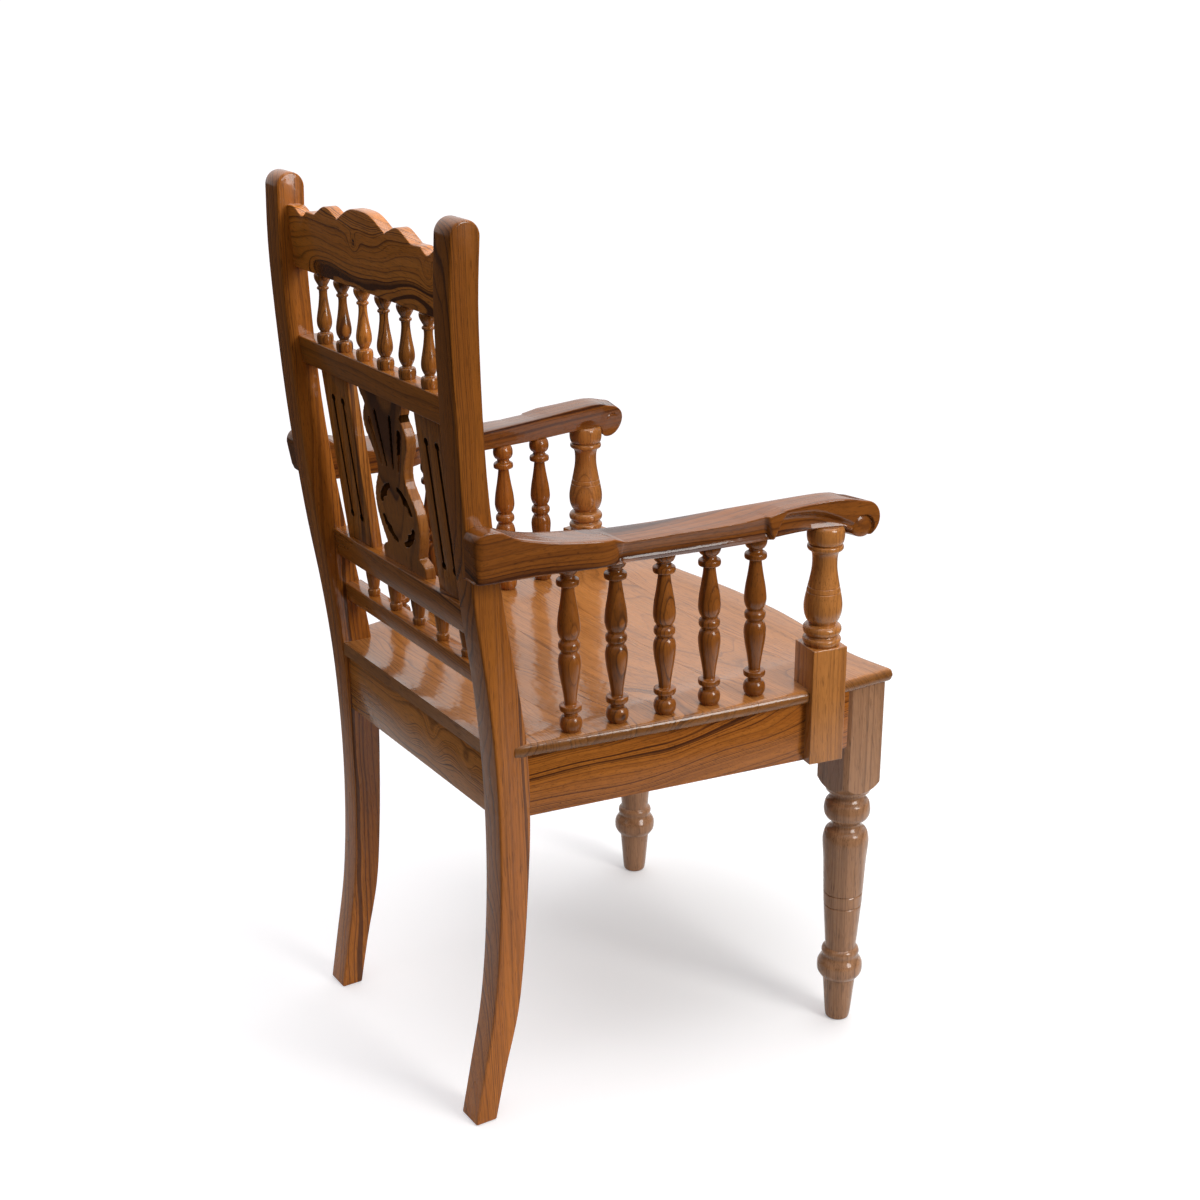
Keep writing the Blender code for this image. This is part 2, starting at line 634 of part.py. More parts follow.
# each back rail with the height of its tenons
for rail, sizes, height in (
    (crest, CREST, 0.040), (mid_rail, MID_RAIL, 0.020),
    (lower_rail, LOWER_RAIL, 0.026), (bottom_rail, BOTTOM_RAIL, 0.014),
):
    boolean(rail, joined(f"{rail.name}_shoulders", [beyond_stile(1, GAP), beyond_stile(-1, GAP)]))
    ends = [back_tenons(sizes, height, 1, 0.0), back_tenons(sizes, height, -1, 0.0)]
    boolean(rail, joined(f"{rail.name}_tenons", ends), "UNION")
    for side, label in ((1, "left"), (-1, "right")):
        mortise = joined(f"{rail.name}_mortise_{label}", [back_tenons(sizes, height, side, GAP)])
        boolean(rear_legs[side], mortise)


# Splat and slats
def board_axes(x, z, share):
    return (x, back_face(z) - BOARD_THICK * share, z)


def tongue(x0, x1, z0, z1, grow):
    """The part of a board that enters a rail."""
    outline = [(x0 - grow, z0 - grow), (x1 + grow, z0 - grow), (x1 + grow, z1 + grow), (x0 - grow, z1 + grow)]
    share = (0.2 * BOARD_THICK - grow) / BOARD_THICK
    return prism("tongue", outline, share, 1 - share, board_axes)


BOARD_LOW = LOWER_RAIL[3] + GAP
BOARD_HIGH = MID_RAIL[2] - GAP


def slot(x, low, high, width):
    half = width / 2
    arcs = [
        (x + half * math.cos(a), high - half + half * math.sin(a))
        for a in (math.pi * k / 6 for k in range(7))
    ]
    arcs += [
        (x + half * math.cos(a), low + half + half * math.sin(a))
        for a in (math.pi * (1 + k / 6) for k in range(7))
    ]
    return prism("slot", arcs, -0.5, 1.5, board_axes)


board_spaces = {"low": [], "high": []}
for side, label in ((1, "left"), (-1, "right")):
    low, high = sorted((side * SLAT_INNER, side * SLAT_OUTER))
    slat = prism(
        f"slat_{label}", [(low, BOARD_LOW), (high, BOARD_LOW), (high, BOARD_HIGH), (low, BOARD_HIGH)], 0.0,
        1.0, board_axes, CARVED
    )
    boolean(
        slat,
        joined(f"slat_{label}_slots", [slot(side * x, *SLAT_SLOT_ENDS, SLOT_WIDTH) for x in SLAT_SLOTS])
    )
    ends = [tongue(low + 0.01, high - 0.01, BOARD_LOW - BOARD_TONGUE, BOARD_LOW + 0.004, 0.0),
            tongue(low + 0.01, high - 0.01, BOARD_HIGH - 0.004, BOARD_HIGH + BOARD_TONGUE, 0.0)]
    boolean(slat, joined(f"slat_{label}_tongues", ends), "UNION")
    board_spaces["low"].append(
        tongue(low + 0.01, high - 0.01, BOARD_LOW - BOARD_TONGUE, BOARD_LOW + 0.004, GAP)
    )
    board_spaces["high"].append(
        tongue(low + 0.01, high - 0.01, BOARD_HIGH - 0.004, BOARD_HIGH + BOARD_TONGUE, GAP)
    )

half = [(x, min(max(z, BOARD_LOW), BOARD_HIGH)) for x, z in SPLAT_HALF]
splat = prism("splat", half + [(-x, z) for x, z in reversed(half)], 0.0, 1.0, board_axes, CARVED)


def ring_slot(start):
    """One of the four curved piercings between the oval ring and the lobed figure."""
    a0, a1 = start + math.radians(13), start + math.radians(77)
    outer = [a0 + (a1 - a0) * k / 7 for k in range(8)]
    line = [(RING_HOLE[0] * math.cos(a), RING_CENTRE + RING_HOLE[1] * math.sin(a)) for a in outer]
    for a in reversed(outer):
        lobe = 1.0 + 0.12 * math.cos(4 * a)
        line.append((BOSS[0] * lobe * math.cos(a), RING_CENTRE + BOSS[1] * lobe * math.sin(a)))
    return prism("piercing", line, -0.5, 1.5, board_axes)


def plume_slot(low, high, low_width, high_width, side):
    rise = Vector((high[0] - low[0], high[1] - low[1])).normalized()
    across = Vector((rise.y, -rise.x))
    line = []
    for k in range(6):
        a = math.pi * k / 5
        line.append(Vector(high) + high_width / 2 * (across * math.cos(a) + rise * math.sin(a)))
    for k in range(6):
        a = math.pi * (1 + k / 5)
        line.append(Vector(low) + low_width / 2 * (across * math.cos(a) + rise * math.sin(a)))
    return prism("piercing", [(side * p.x, p.y) for p in line], -0.5, 1.5, board_axes)


piercings = [ring_slot(math.radians(90 * k)) for k in range(4)]
piercings += [plume_slot(*sizes, side) for sizes in PLUME_SLOTS for side in (1, -1)]
boolean(splat, joined("splat_piercings", piercings))
splat_tongues = [
    tongue(-0.036, 0.036, BOARD_LOW - BOARD_TONGUE, BOARD_LOW + 0.004, 0.0),
    tongue(-0.036, 0.036, BOARD_HIGH - 0.004, BOARD_HIGH + BOARD_TONGUE, 0.0),
]
boolean(splat, joined("splat_tongues", splat_tongues), "UNION")
board_spaces["low"].append(tongue(-0.036, 0.036, BOARD_LOW - BOARD_TONGUE, BOARD_LOW + 0.004, GAP))
board_spaces["high"].append(tongue(-0.036, 0.036, BOARD_HIGH - 0.004, BOARD_HIGH + BOARD_TONGUE, GAP))
boolean(lower_rail, joined("lower_rail_grooves", board_spaces["low"]))
boolean(mid_rail, joined("mid_rail_grooves", board_spaces["high"]))


# Back spindles
def spindle_profile(profile, low, high):
    body = [(r, low + share * (high - low)) for r, share in profile]
    return [
        (PIN_RADIUS, high + PIN_LENGTH), (PIN_RADIUS, high)
    ] + body + [(PIN_RADIUS, low), (PIN_RADIUS, low - PIN_LENGTH)]


def row(name, count, pitch, y, profile, low, high, steps, material):
    first = turned(
        f"{name}_1", spindle_profile(profile, low, high), steps, material,
        (-pitch * (count - 1) / 2, y, 0.0)
    )
    places = [(first.location.x, y)]
    for k in range(1, count):
        again = place(f"{name}_{k + 1}", first.data)
        again.location = (-pitch * (count - 1) / 2 + k * pitch, y, 0.0)
        lathe(again, steps)
        places.append((again.location.x, y))
    return places


upper = row("upper_spindle", 6, UPPER_SPINDLE_PITCH, UPPER_SPINDLE_Y, UPPER_SPINDLE_PROFILE,
            MID_RAIL[3] + GAP, CREST[2] - GAP, 10, TURNED)
lower = row("lower_spindle", 5, LOWER_SPINDLE_PITCH, LOWER_SPINDLE_Y, LOWER_SPINDLE_PROFILE,
            BOTTOM_RAIL[3] + GAP, LOWER_RAIL[2] - GAP, 10, TURNED)
PIN_HOLE = PIN_RADIUS + GAP
DEPTH = PIN_LENGTH + GAP
boolean(
    crest,
    joined(
        "crest_rail_holes",
        [hole("hole", ((PIN_HOLE, CREST[2] - 0.01), (PIN_HOLE, CREST[2] - GAP + DEPTH)), at) for at in upper]
    )
)
boolean(
    mid_rail,
    joined(
        "mid_rail_holes",
        [
            hole("hole", ((PIN_HOLE, MID_RAIL[3] + GAP - DEPTH), (PIN_HOLE, MID_RAIL[3] + 0.01)), at)
            for at in upper
        ]
    )
)
boolean(
    lower_rail,
    joined(
        "lower_rail_holes",
        [
            hole("hole", ((PIN_HOLE, LOWER_RAIL[2] - 0.01), (PIN_HOLE, LOWER_RAIL[2] - GAP + DEPTH)), at)
            for at in lower
        ]
    )
)
boolean(
    bottom_rail,
    joined(
        "bottom_rail_holes",
        [
            hole("hole", ((PIN_HOLE, BOTTOM_RAIL[3] + GAP - DEPTH), (PIN_HOLE, BOTTOM_RAIL[3] + 0.01)), at)
            for at in lower
        ]
    )
)

# Arms
def arm_outline():
    scroll = []
    for k in range(15):
        a = math.radians(82 + (314 - 82) * k / 14)
        scroll.append((SCROLL_Y + SCROLL_RADIUS * math.cos(a), SCROLL_Z + SCROLL_RADIUS * math.sin(a)))
    return list(ARM_TOP) + scroll + list(ARM_UNDER)


def blend(start, end, value):
    """0 before start, 1 after end, and smooth between."""
    share = min(1.0, max(0.0, (value - start) / (end - start)))
    return share * share * (3.0 - 2.0 * share)


def carved_depth(y, z):
    """How far the arm's outer face is cut back at this place."""
    low, high = along(ARM_UNDER, y), along(ARM_TOP, y)
    share = (z - low) / (high - low)
    inside = min(1.0, max(0.0, share))
    turn, end, most = BLOCK_END
    around = min(1.0, max(0.0, (turn - y) / (turn - end)))
    rounded = most * (1.0 - math.sqrt(1.0 - around * around))
    rear = LEAF_REAR[0] + (LEAF_REAR[1] - LEAF_REAR[0]) * inside
    front = LEAF_FRONT[0] + (LEAF_FRONT[1] - LEAF_FRONT[0]) * inside
    depth = min(rounded, along(COVE, share)) * blend(rear - 0.0020, rear + 0.0030, y)
    deepest, border, most = (along([(row[0], row[k]) for row in BOWL], y) for k in (1, 2, 3))
    if z < deepest:
        bowl = blend(-0.35, 1.0, (z - low) / (deepest - low))
    else:
        bowl = 1.0 - blend(0.0, 1.0, (z - deepest) / (border - deepest))
    return depth + most * bowl * blend(0.0, 0.0090, front - y)


def carving(name, side, stations, levels):
    """The waste of the outer face: from just outside the arm in to the carved depth."""
    points, faces = [], []
    for inner in (1, 0):
        for y in stations:
            low, high = along(ARM_UNDER, y), along(ARM_TOP, y)
            for share in levels:
                z = low + share * (high - low)
                x = along(ARM_OUTER, y) - carved_depth(y, z) + 0.0005 if inner else 0.31
                points.append((side * x, y, z))
    span = len(levels)
    layer = span * len(stations)
    for j in range(len(stations) - 1):
        for i in range(span - 1):
            a = j * span + i
            faces.append((a, a + 1, a + span + 1, a + span))
            faces.append((layer + a, layer + a + span, layer + a + span + 1, layer + a + 1))
    rim = list(range(span - 1)) + [span - 1 + j * span for j in range(len(stations) - 1)]
    rim += [layer - 1 - i for i in range(span - 1)] + [
        layer - span - j * span
        for j in range(len(stations) - 1)
    ]
    for k, a in enumerate(rim):
        b = rim[(k + 1) % len(rim)]
        faces.append((a, b, layer + b, layer + a))
    return solid(name, points, faces)


ARM_STATIONS = (
    -0.1270, -0.1400, -0.1500, -0.1560, -0.1610, -0.1900, -0.2600, -0.3300, -0.3390, -0.3440, -0.3490,
    -0.3550, -0.3620, -0.3700, -0.3850, -0.4050, -0.4200, -0.4330, -0.4450, -0.4540, -0.4610,
)
ARM_LEVELS = (-0.15, 0.00, 0.12, 0.25, 0.37, 0.50, 0.65, 0.80, 1.00, 1.40)
arms = {}
for side, label in ((1, "left"), (-1, "right")):
    arm = prism(
        f"arm_{label}", arm_outline(), 0.16, 0.32, lambda y, z, x, side=side: (side * x, y, z), CARVED
    )
    for vertex in arm.data.vertices:
        if vertex.co.z > 0.69:
            inner, outer = along(ARM_INNER, vertex.co.y), along(ARM_OUTER, vertex.co.y)
            vertex.co.z += along(ARM_LIFT, vertex.co.y) * (abs(vertex.co.x) - inner) / (outer - inner)
    plan = [(side * x, y) for y, x in ARM_INNER] + [(side * x, y) for y, x in reversed(ARM_OUTER)]
    boolean(arm, prism(f"arm_{label}_plan", plan, 0.60, 0.80, lambda x, y, z: (x, y, z)), "INTERSECT")
    boolean(arm, carving(f"arm_{label}_carving", side, ARM_STATIONS, ARM_LEVELS))
    arms[side] = arm

# Seat
def seat_top(x, y):
    edge = max(0.0, 1.0 - (abs(x) / 0.185) ** 2.6)
    run = max(0.0, 1.0 - (abs(y + 0.265) / 0.235) ** 3.0)
    return seat_base(y) + SEAT_THICK - SEAT_DISH * edge**0.8 * run**0.6


def seat_body():
    across, deep = 18, 12
    points, faces = [], []
    for level in (1, 0):
        for j in range(deep + 1):
            for i in range(across + 1):
                s = -1 + 2 * i / across
                front = along(SEAT_FRONT, abs(s) * 0.27)
                y = SEAT_REAR_Y + (front - SEAT_REAR_Y) * j / deep
                x = s * along(SEAT_SIDE, y)
                points.append((x, y, seat_top(x, y) if level else seat_base(y)))
    span = across + 1
    layer = span * (deep + 1)
    for j in range(deep):
        for i in range(across):
            a = j * span + i
            faces.append((a, a + 1, a + span + 1, a + span))
            faces.append((layer + a, layer + a + span, layer + a + span + 1, layer + a + 1))
    rim = list(range(across)) + [across + j * span for j in range(deep)]
    rim += [layer - 1 - i for i in range(across)] + [deep * span - j * span for j in range(deep)]
    for k, a in enumerate(rim):
        b = rim[(k + 1) % len(rim)]
        faces.append((a, b, layer + b, layer + a))
    return solid("seat_body", points, faces)


body = seat_body()
ease(body, SEAT_ROUND, 3, 50.0)
helper(body)
seat_cuts = [stile("space", 1, GAP), stile("space", -1, GAP)]
seat_cuts += [post_square("space", side, 0.36, 0.56, GAP) for side in (1, -1)]
spindle_low = {}
for x, y in ARM_SPINDLES:
    base = seat_base(y) + SEAT_THICK + GAP
    spindle_low[x, y] = base
    for side in (1, -1):
        seat_cuts.append(
            leaning(hole("hole", ((PIN_HOLE, -DEPTH), (PIN_HOLE, 0.02)), (0.0, 0.0)), (side * x, y, base))
        )
seat_tool = joined("seat_cuts", seat_cuts)
ends = [SEAT_REAR_Y + 0.02] + [
    SEAT_REAR_Y + (-0.549 - SEAT_REAR_Y) * k / SEAT_BOARDS
    for k in range(1, SEAT_BOARDS)
] + [-0.60]
for k in range(SEAT_BOARDS):
    board = block(
        f"seat_board_{k + 1}", (-0.30, ends[k + 1] + GAP / 2, 0.42), (0.30, ends[k] - GAP / 2, 0.50),
        SEATING
    )
    boolean(board, body, "INTERSECT")
    boolean(board, seat_tool)

# Arm spindles, seat to arm
head = SPINDLE_HALF[-1][0] + 3 * GAP
for side, label in ((1, "left"), (-1, "right")):
    pins = []
    for k, (x, y) in enumerate(ARM_SPINDLES):
        low = spindle_low[x, y]
        top_y = y + SPINDLE_LEAN * 0.205
        tall = max(along(ARM_UNDER, top_y - head), along(ARM_UNDER, top_y + head)) - GAP - low
        upper = [(r, tall * (1 + share) / 2) for r, share in reversed(SPINDLE_HALF)]
        lower = [(r, tall * (1 - share) / 2) for r, share in SPINDLE_HALF[1:]]
        top_pin = [(PIN_RADIUS, tall + PIN_LENGTH), (PIN_RADIUS, tall)]
        foot_pin = [(PIN_RADIUS, 0.0), (PIN_RADIUS, -PIN_LENGTH)]
        spindle = turned(f"arm_spindle_{label}_{k + 1}", top_pin + upper + lower + foot_pin, 10, TURNED)
        leaning(spindle, (side * x, y, low))
        seat = tall + GAP
        socket = ((head, tall - 0.02), (head, seat), (PIN_HOLE, seat), (PIN_HOLE, tall + DEPTH))
        pins.append(leaning(hole("hole", socket, (0.0, 0.0)), (side * x, y, low)))
    seat = POST_TOP + GAP
    collar = POST_PROFILE[1][0] + GAP
    pin = POST_PIN + GAP
    pins.append(
        hole(
            "hole", ((collar, 0.640), (collar, seat), (pin, seat), (pin, seat + POST_PIN_LENGTH)),
            (side * POST_X, POST_Y), 12
        )
    )
    boolean(arms[side], joined(f"arm_{label}_holes", pins))

for side, label in ((1, "left"), (-1, "right")):
    def lap_axes(y, z, across, side=side):
        return (side * (stile_outer(z) - across), y, z)

    front = [(y - depth - GAP, z) for z, y, depth in STILE_SIDE if 0.5 < z < 0.80]
    space = prism(f"arm_{label}_lap", front + [(0.05, 0.79), (0.05, 0.53)], -GAP, 0.06, lap_axes)
    boolean(arms[side], space)

for side in (1, -1):
    smooth(rear_legs[side])
for shape in bpy.data.objects:
    shape.location.y += CENTRE_Y
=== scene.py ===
import math
from functools import partial

import bmesh
import bpy
from mathutils import Matrix, Vector, geometry, kdtree


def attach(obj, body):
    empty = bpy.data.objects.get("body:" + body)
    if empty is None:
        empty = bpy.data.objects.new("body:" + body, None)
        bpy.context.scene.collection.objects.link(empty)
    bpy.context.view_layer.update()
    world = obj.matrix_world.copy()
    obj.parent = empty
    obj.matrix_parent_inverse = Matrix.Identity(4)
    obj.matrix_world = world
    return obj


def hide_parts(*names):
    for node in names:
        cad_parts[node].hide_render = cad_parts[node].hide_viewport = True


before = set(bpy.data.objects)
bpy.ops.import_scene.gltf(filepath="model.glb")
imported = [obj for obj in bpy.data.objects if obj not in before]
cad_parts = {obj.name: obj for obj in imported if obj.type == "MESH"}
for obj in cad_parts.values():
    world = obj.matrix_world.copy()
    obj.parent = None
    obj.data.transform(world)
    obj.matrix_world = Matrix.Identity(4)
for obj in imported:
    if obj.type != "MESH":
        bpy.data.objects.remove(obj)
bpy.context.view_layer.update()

stage = bpy.context.scene
stage.view_settings.view_transform = "Standard"

# View and light: the photograph looks down a little at the chair's back right quarter.
# A white studio: a sweep behind and below it, one broad lamp over the camera's right shoulder,
# a broad lamp overhead and the white room itself.
CAMERA_AT, CAMERA_LENS = (-1.8366, 1.1377, 1.3225), 57.2
HEADING, DIP = math.radians(-32.48), math.radians(20.046)
camera = bpy.data.objects.new("camera", bpy.data.cameras.new("camera"))
stage.collection.objects.link(camera)
stage.camera = camera
camera.data.sensor_width = 36.0
camera.data.lens = CAMERA_LENS
camera.data.clip_end = 60.0
camera.location = CAMERA_AT
sight = Vector((math.cos(HEADING) * math.cos(DIP), math.sin(HEADING) * math.cos(DIP), -math.sin(DIP)))
camera.rotation_mode = "QUATERNION"
camera.rotation_quaternion = sight.to_track_quat("-Z", "Y")


def lamp(name, place, aim, width, height, power, colour=(1.0, 1.0, 1.0)):
    light = bpy.data.objects.new(name, bpy.data.lights.new(name, "AREA"))
    stage.collection.objects.link(light)
    light.data.shape = "RECTANGLE"
    light.data.size = width
    light.data.size_y = height
    light.data.energy = power
    light.data.color = colour
    light.location = place
    light.rotation_mode = "QUATERNION"
    light.rotation_quaternion = (Vector(aim) - Vector(place)).to_track_quat("-Z", "Y")


lamp("lamp_right", (-2.6, -0.9, 1.9), (0.0, 0.0, 0.5), 1.0, 1.6, 60.0, (1.0, 0.985, 0.96))
lamp("lamp_left", (0.3, 2.8, 2.0), (0.0, 0.0, 0.55), 0.9, 1.3, 3.0, (0.96, 0.98, 1.0))
lamp("lamp_above", (-0.1, -0.5, 2.7), (0.0, 0.0, 0.4), 2.2, 2.2, 38.0)


def plug(tree, socket, value):
    """Links a socket to another node's output, or sets it to a plain value."""
    if isinstance(value, bpy.types.NodeSocket):
        tree.links.new(value, socket)
    else:
        socket.default_value = value


def node_in(tree, kind, **values):
    """A new node. Each value goes to the input or the setting of that name, where _ stands for a space."""
    made = tree.nodes.new(kind)
    for key, value in values.items():
        socket = made.inputs.get(key.replace("_", " "))
        if socket is None:
            setattr(made, key, value)
        else:
            plug(tree, socket, value)
    return made


def calc_in(tree, operation, *values, kind="ShaderNodeMath"):
    """The result of a sum over values that are numbers or other nodes' outputs."""
    made = node_in(tree, kind, operation=operation)
    for socket, value in zip(made.inputs, values):
        plug(tree, socket, value)
    return made.outputs["Value" if operation in ("LENGTH", "DISTANCE", "DOT_PRODUCT") else 0]


def fade_in(tree, value, low, high, start=0.0, end=1.0):
    """A smooth change from start to end while the value goes from low to high."""
    return node_in(tree, "ShaderNodeMapRange", interpolation_type="SMOOTHSTEP", Value=value, From_Min=low,
                   From_Max=high, To_Min=start, To_Max=end).outputs["Result"]


# the room: plain white where the camera sees it, for its light bright overhead and on the
# backdrop beyond the chair, and dim behind the camera
BACKDROP_WAY = (0.843, -0.537, 0.0)
world = bpy.data.worlds.new("studio")
stage.world = world
world.use_nodes = True
room = world.node_tree
room.nodes.clear()
heading = node_in(room, "ShaderNodeTexCoord").outputs["Generated"]
upward = node_in(room, "ShaderNodeSeparateXYZ", Vector=heading).outputs["Z"]
ceiling = fade_in(room, upward, 0.25, 0.85, 0.07, 0.62)
ahead = calc_in(room, "DOT_PRODUCT", heading, BACKDROP_WAY, kind="ShaderNodeVectorMath")
backdrop = fade_in(room, ahead, 0.2, 0.8, 0.0, 0.85)
lit = node_in(room, "ShaderNodeBackground", Color=(0.97, 0.985, 1.0, 1.0),
              Strength=calc_in(room, "ADD", ceiling, backdrop))
white = node_in(room, "ShaderNodeBackground", Color=(1.0, 1.0, 1.0, 1.0), Strength=1.0)
either = node_in(
    room, "ShaderNodeMixShader", Fac=node_in(room, "ShaderNodeLightPath").outputs["Is Camera Ray"]
)
room.links.new(lit.outputs[0], either.inputs[1])
room.links.new(white.outputs[0], either.inputs[2])
node_in(room, "ShaderNodeOutputWorld", Surface=either.outputs[0])

# the floor: white paper that turns into the white room about two metres from the chair. Only the
# camera sees its glow, which has a pool of shade under the chair.
FLOOR_HALF, FLOOR_Z = 30.0, -0.0004
PAPER_MIDDLE, POOL_MIDDLE = (-0.1, 0.4, 0.0), (-0.025, 0.2, 0.0)
floor_mesh = bpy.data.meshes.new("floor")
floor_mesh.from_pydata([(FLOOR_HALF * i, FLOOR_HALF * j, FLOOR_Z)
                        for i, j in ((-1, -1), (1, -1), (1, 1), (-1, 1))], [], [(0, 1, 2, 3)])
floor = bpy.data.objects.new("floor", floor_mesh)
stage.collection.objects.link(floor)
paper = bpy.data.materials.new("white floor")
paper.use_nodes = True
sheet = paper.node_tree
sheet.nodes.clear()


def away_from(middle):
    spot = node_in(sheet, "ShaderNodeTexCoord").outputs["Object"]
    moved = node_in(sheet, "ShaderNodeMapping", Vector=spot, Location=middle).outputs[0]
    return calc_in(sheet, "LENGTH", moved, kind="ShaderNodeVectorMath")


far = fade_in(sheet, away_from(PAPER_MIDDLE), 0.75, 1.5)
shade_pool = fade_in(sheet, away_from(POOL_MIDDLE), 0.02, 0.48, 0.31, 0.0)
matt_tone = node_in(sheet, "ShaderNodeMapRange", Value=far, To_Min=0.66, To_Max=0.05)
matt = node_in(sheet, "ShaderNodeBsdfDiffuse", Color=matt_tone.outputs["Result"])
level = calc_in(sheet, "ADD", calc_in(sheet, "MULTIPLY", far, 0.6), 0.46)
level = calc_in(sheet, "SUBTRACT", level, shade_pool)
in_view = node_in(sheet, "ShaderNodeLightPath").outputs["Is Camera Ray"]
glow = node_in(sheet, "ShaderNodeEmission", Color=(1.0, 0.965, 0.99, 1.0),
               Strength=calc_in(sheet, "MULTIPLY", in_view, level))
both = node_in(sheet, "ShaderNodeAddShader")
sheet.links.new(matt.outputs[0], both.inputs[0])
sheet.links.new(glow.outputs[0], both.inputs[1])
node_in(sheet, "ShaderNodeOutputMaterial", Surface=both.outputs[0])
floor.data.materials.append(paper)

# Rear legs: one teak plank each, sawn to a sabre curve below the seat and raked back above it,
# with a half-round top and every long edge eased by hand. The lacquer is a clear, warm gloss.
HEEL = 0.2618
HALVES = ((1, "left"), (-1, "right"))
LEG_SIDE = (
    (0.0, 0.0, 0.0276), (0.0624, -0.0114, 0.0289), (0.1352, -0.0243, 0.0328), (0.208, -0.0314, 0.0337),
    (0.2912, -0.0346, 0.0356), (0.3744, -0.0336, 0.0392), (0.4576, -0.0289, 0.0406),
    (0.5408, -0.0197, 0.0378), (0.6448, -0.0044, 0.0348), (0.78, 0.01, 0.0318), (0.936, 0.0188, 0.0329))
LEG_TOP = (0.0175, 0.0335, 1.04)
LEG_PLANK, LEG_FOOT_X, LEG_SPREAD = 0.0357, 0.1961, 0.0264


def through(rows, parts):
    """A smooth open line through the rows."""
    line = []
    for i in range(len(rows) - 1):
        a, b = Vector(rows[max(i - 1, 0)]), Vector(rows[i])
        c, d = Vector(rows[i + 1]), Vector(rows[min(i + 2, len(rows) - 1)])
        for k in range(parts):
            t = k / parts
            bend, twist = 2 * a - 5 * b + 4 * c - d, 3 * b - a - 3 * c + d
            line.append(0.5 * ((2 * b) + (c - a) * t + bend * t**2 + twist * t**3))
    return line + [Vector(rows[-1])]


def read(table, value):
    """A straight reading between the rows of a table."""
    rows = sorted(table)
    if value <= rows[0][0]:
        return rows[0][1]
    for (a, p), (b, q) in zip(rows, rows[1:]):
        if value <= b:
            return p + (q - p) * (value - a) / (b - a)
    return rows[-1][1]


def sew(mesh):
    """Joins points that meet, and turns all faces outwards."""
    shape = bmesh.new()
    shape.from_mesh(mesh)
    bmesh.ops.remove_doubles(shape, verts=shape.verts, dist=1e-7)
    bmesh.ops.recalc_face_normals(shape, faces=shape.faces)
    if shape.calc_volume(signed=True) < 0:
        bmesh.ops.reverse_faces(shape, faces=shape.faces)
    shape.to_mesh(mesh)
    shape.free()


def mesh_of(name, points, faces, material=None):
    mesh = bpy.data.meshes.new(name)
    mesh.from_pydata([tuple(point) for point in points], [], faces)
    sew(mesh)
    made = bpy.data.objects.new(name, mesh)
    stage.collection.objects.link(made)
    if material:
        mesh.materials.append(material)
    return made


def sawn(name, outline, low, high, axes, material=None):
    """A closed outline sawn through a plank from low to high."""
    count = len(outline)
    points = [axes(u, v, low) for u, v in outline] + [axes(u, v, high) for u, v in outline]
    faces = [tuple(range(count)), tuple(range(count, 2 * count))]
    faces += [(i, (i + 1) % count, count + (i + 1) % count, count + i) for i in range(count)]
    return mesh_of(name, points, faces, material)


def plain_axes(y, z, x):
    """For a piece that is drawn from the side and sawn across the chair."""
    return (x, y + HEEL, z)


def soften(piece, width, parts=3, angle=38.0):
    """Hand-eased edges, then smooth shading over them."""
    edge = piece.modifiers.new("eased edges", "BEVEL")
    edge.width = width
    edge.segments = parts
    edge.limit_method = "ANGLE"
    edge.angle_limit = math.radians(angle)
    edge.harden_normals = False
    settle(piece)
    shade(piece, 40.0)


def settle(piece):
    """Turns a piece and its modifiers into one plain mesh."""
    bpy.context.view_layer.update()
    graph = bpy.context.evaluated_depsgraph_get()
    plain = bpy.data.meshes.new_from_object(piece.evaluated_get(graph))
    piece.modifiers.clear()
    piece.data = plain


def shade(piece, angle):
    for face in piece.data.polygons:
        face.use_smooth = True
    piece.data.set_sharp_from_angle(angle=math.radians(angle))


def fit(piece, slot, *nodes):
    """Hands a finished piece to the frame."""
    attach(piece, "root")
    if nodes:
        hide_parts(*nodes)


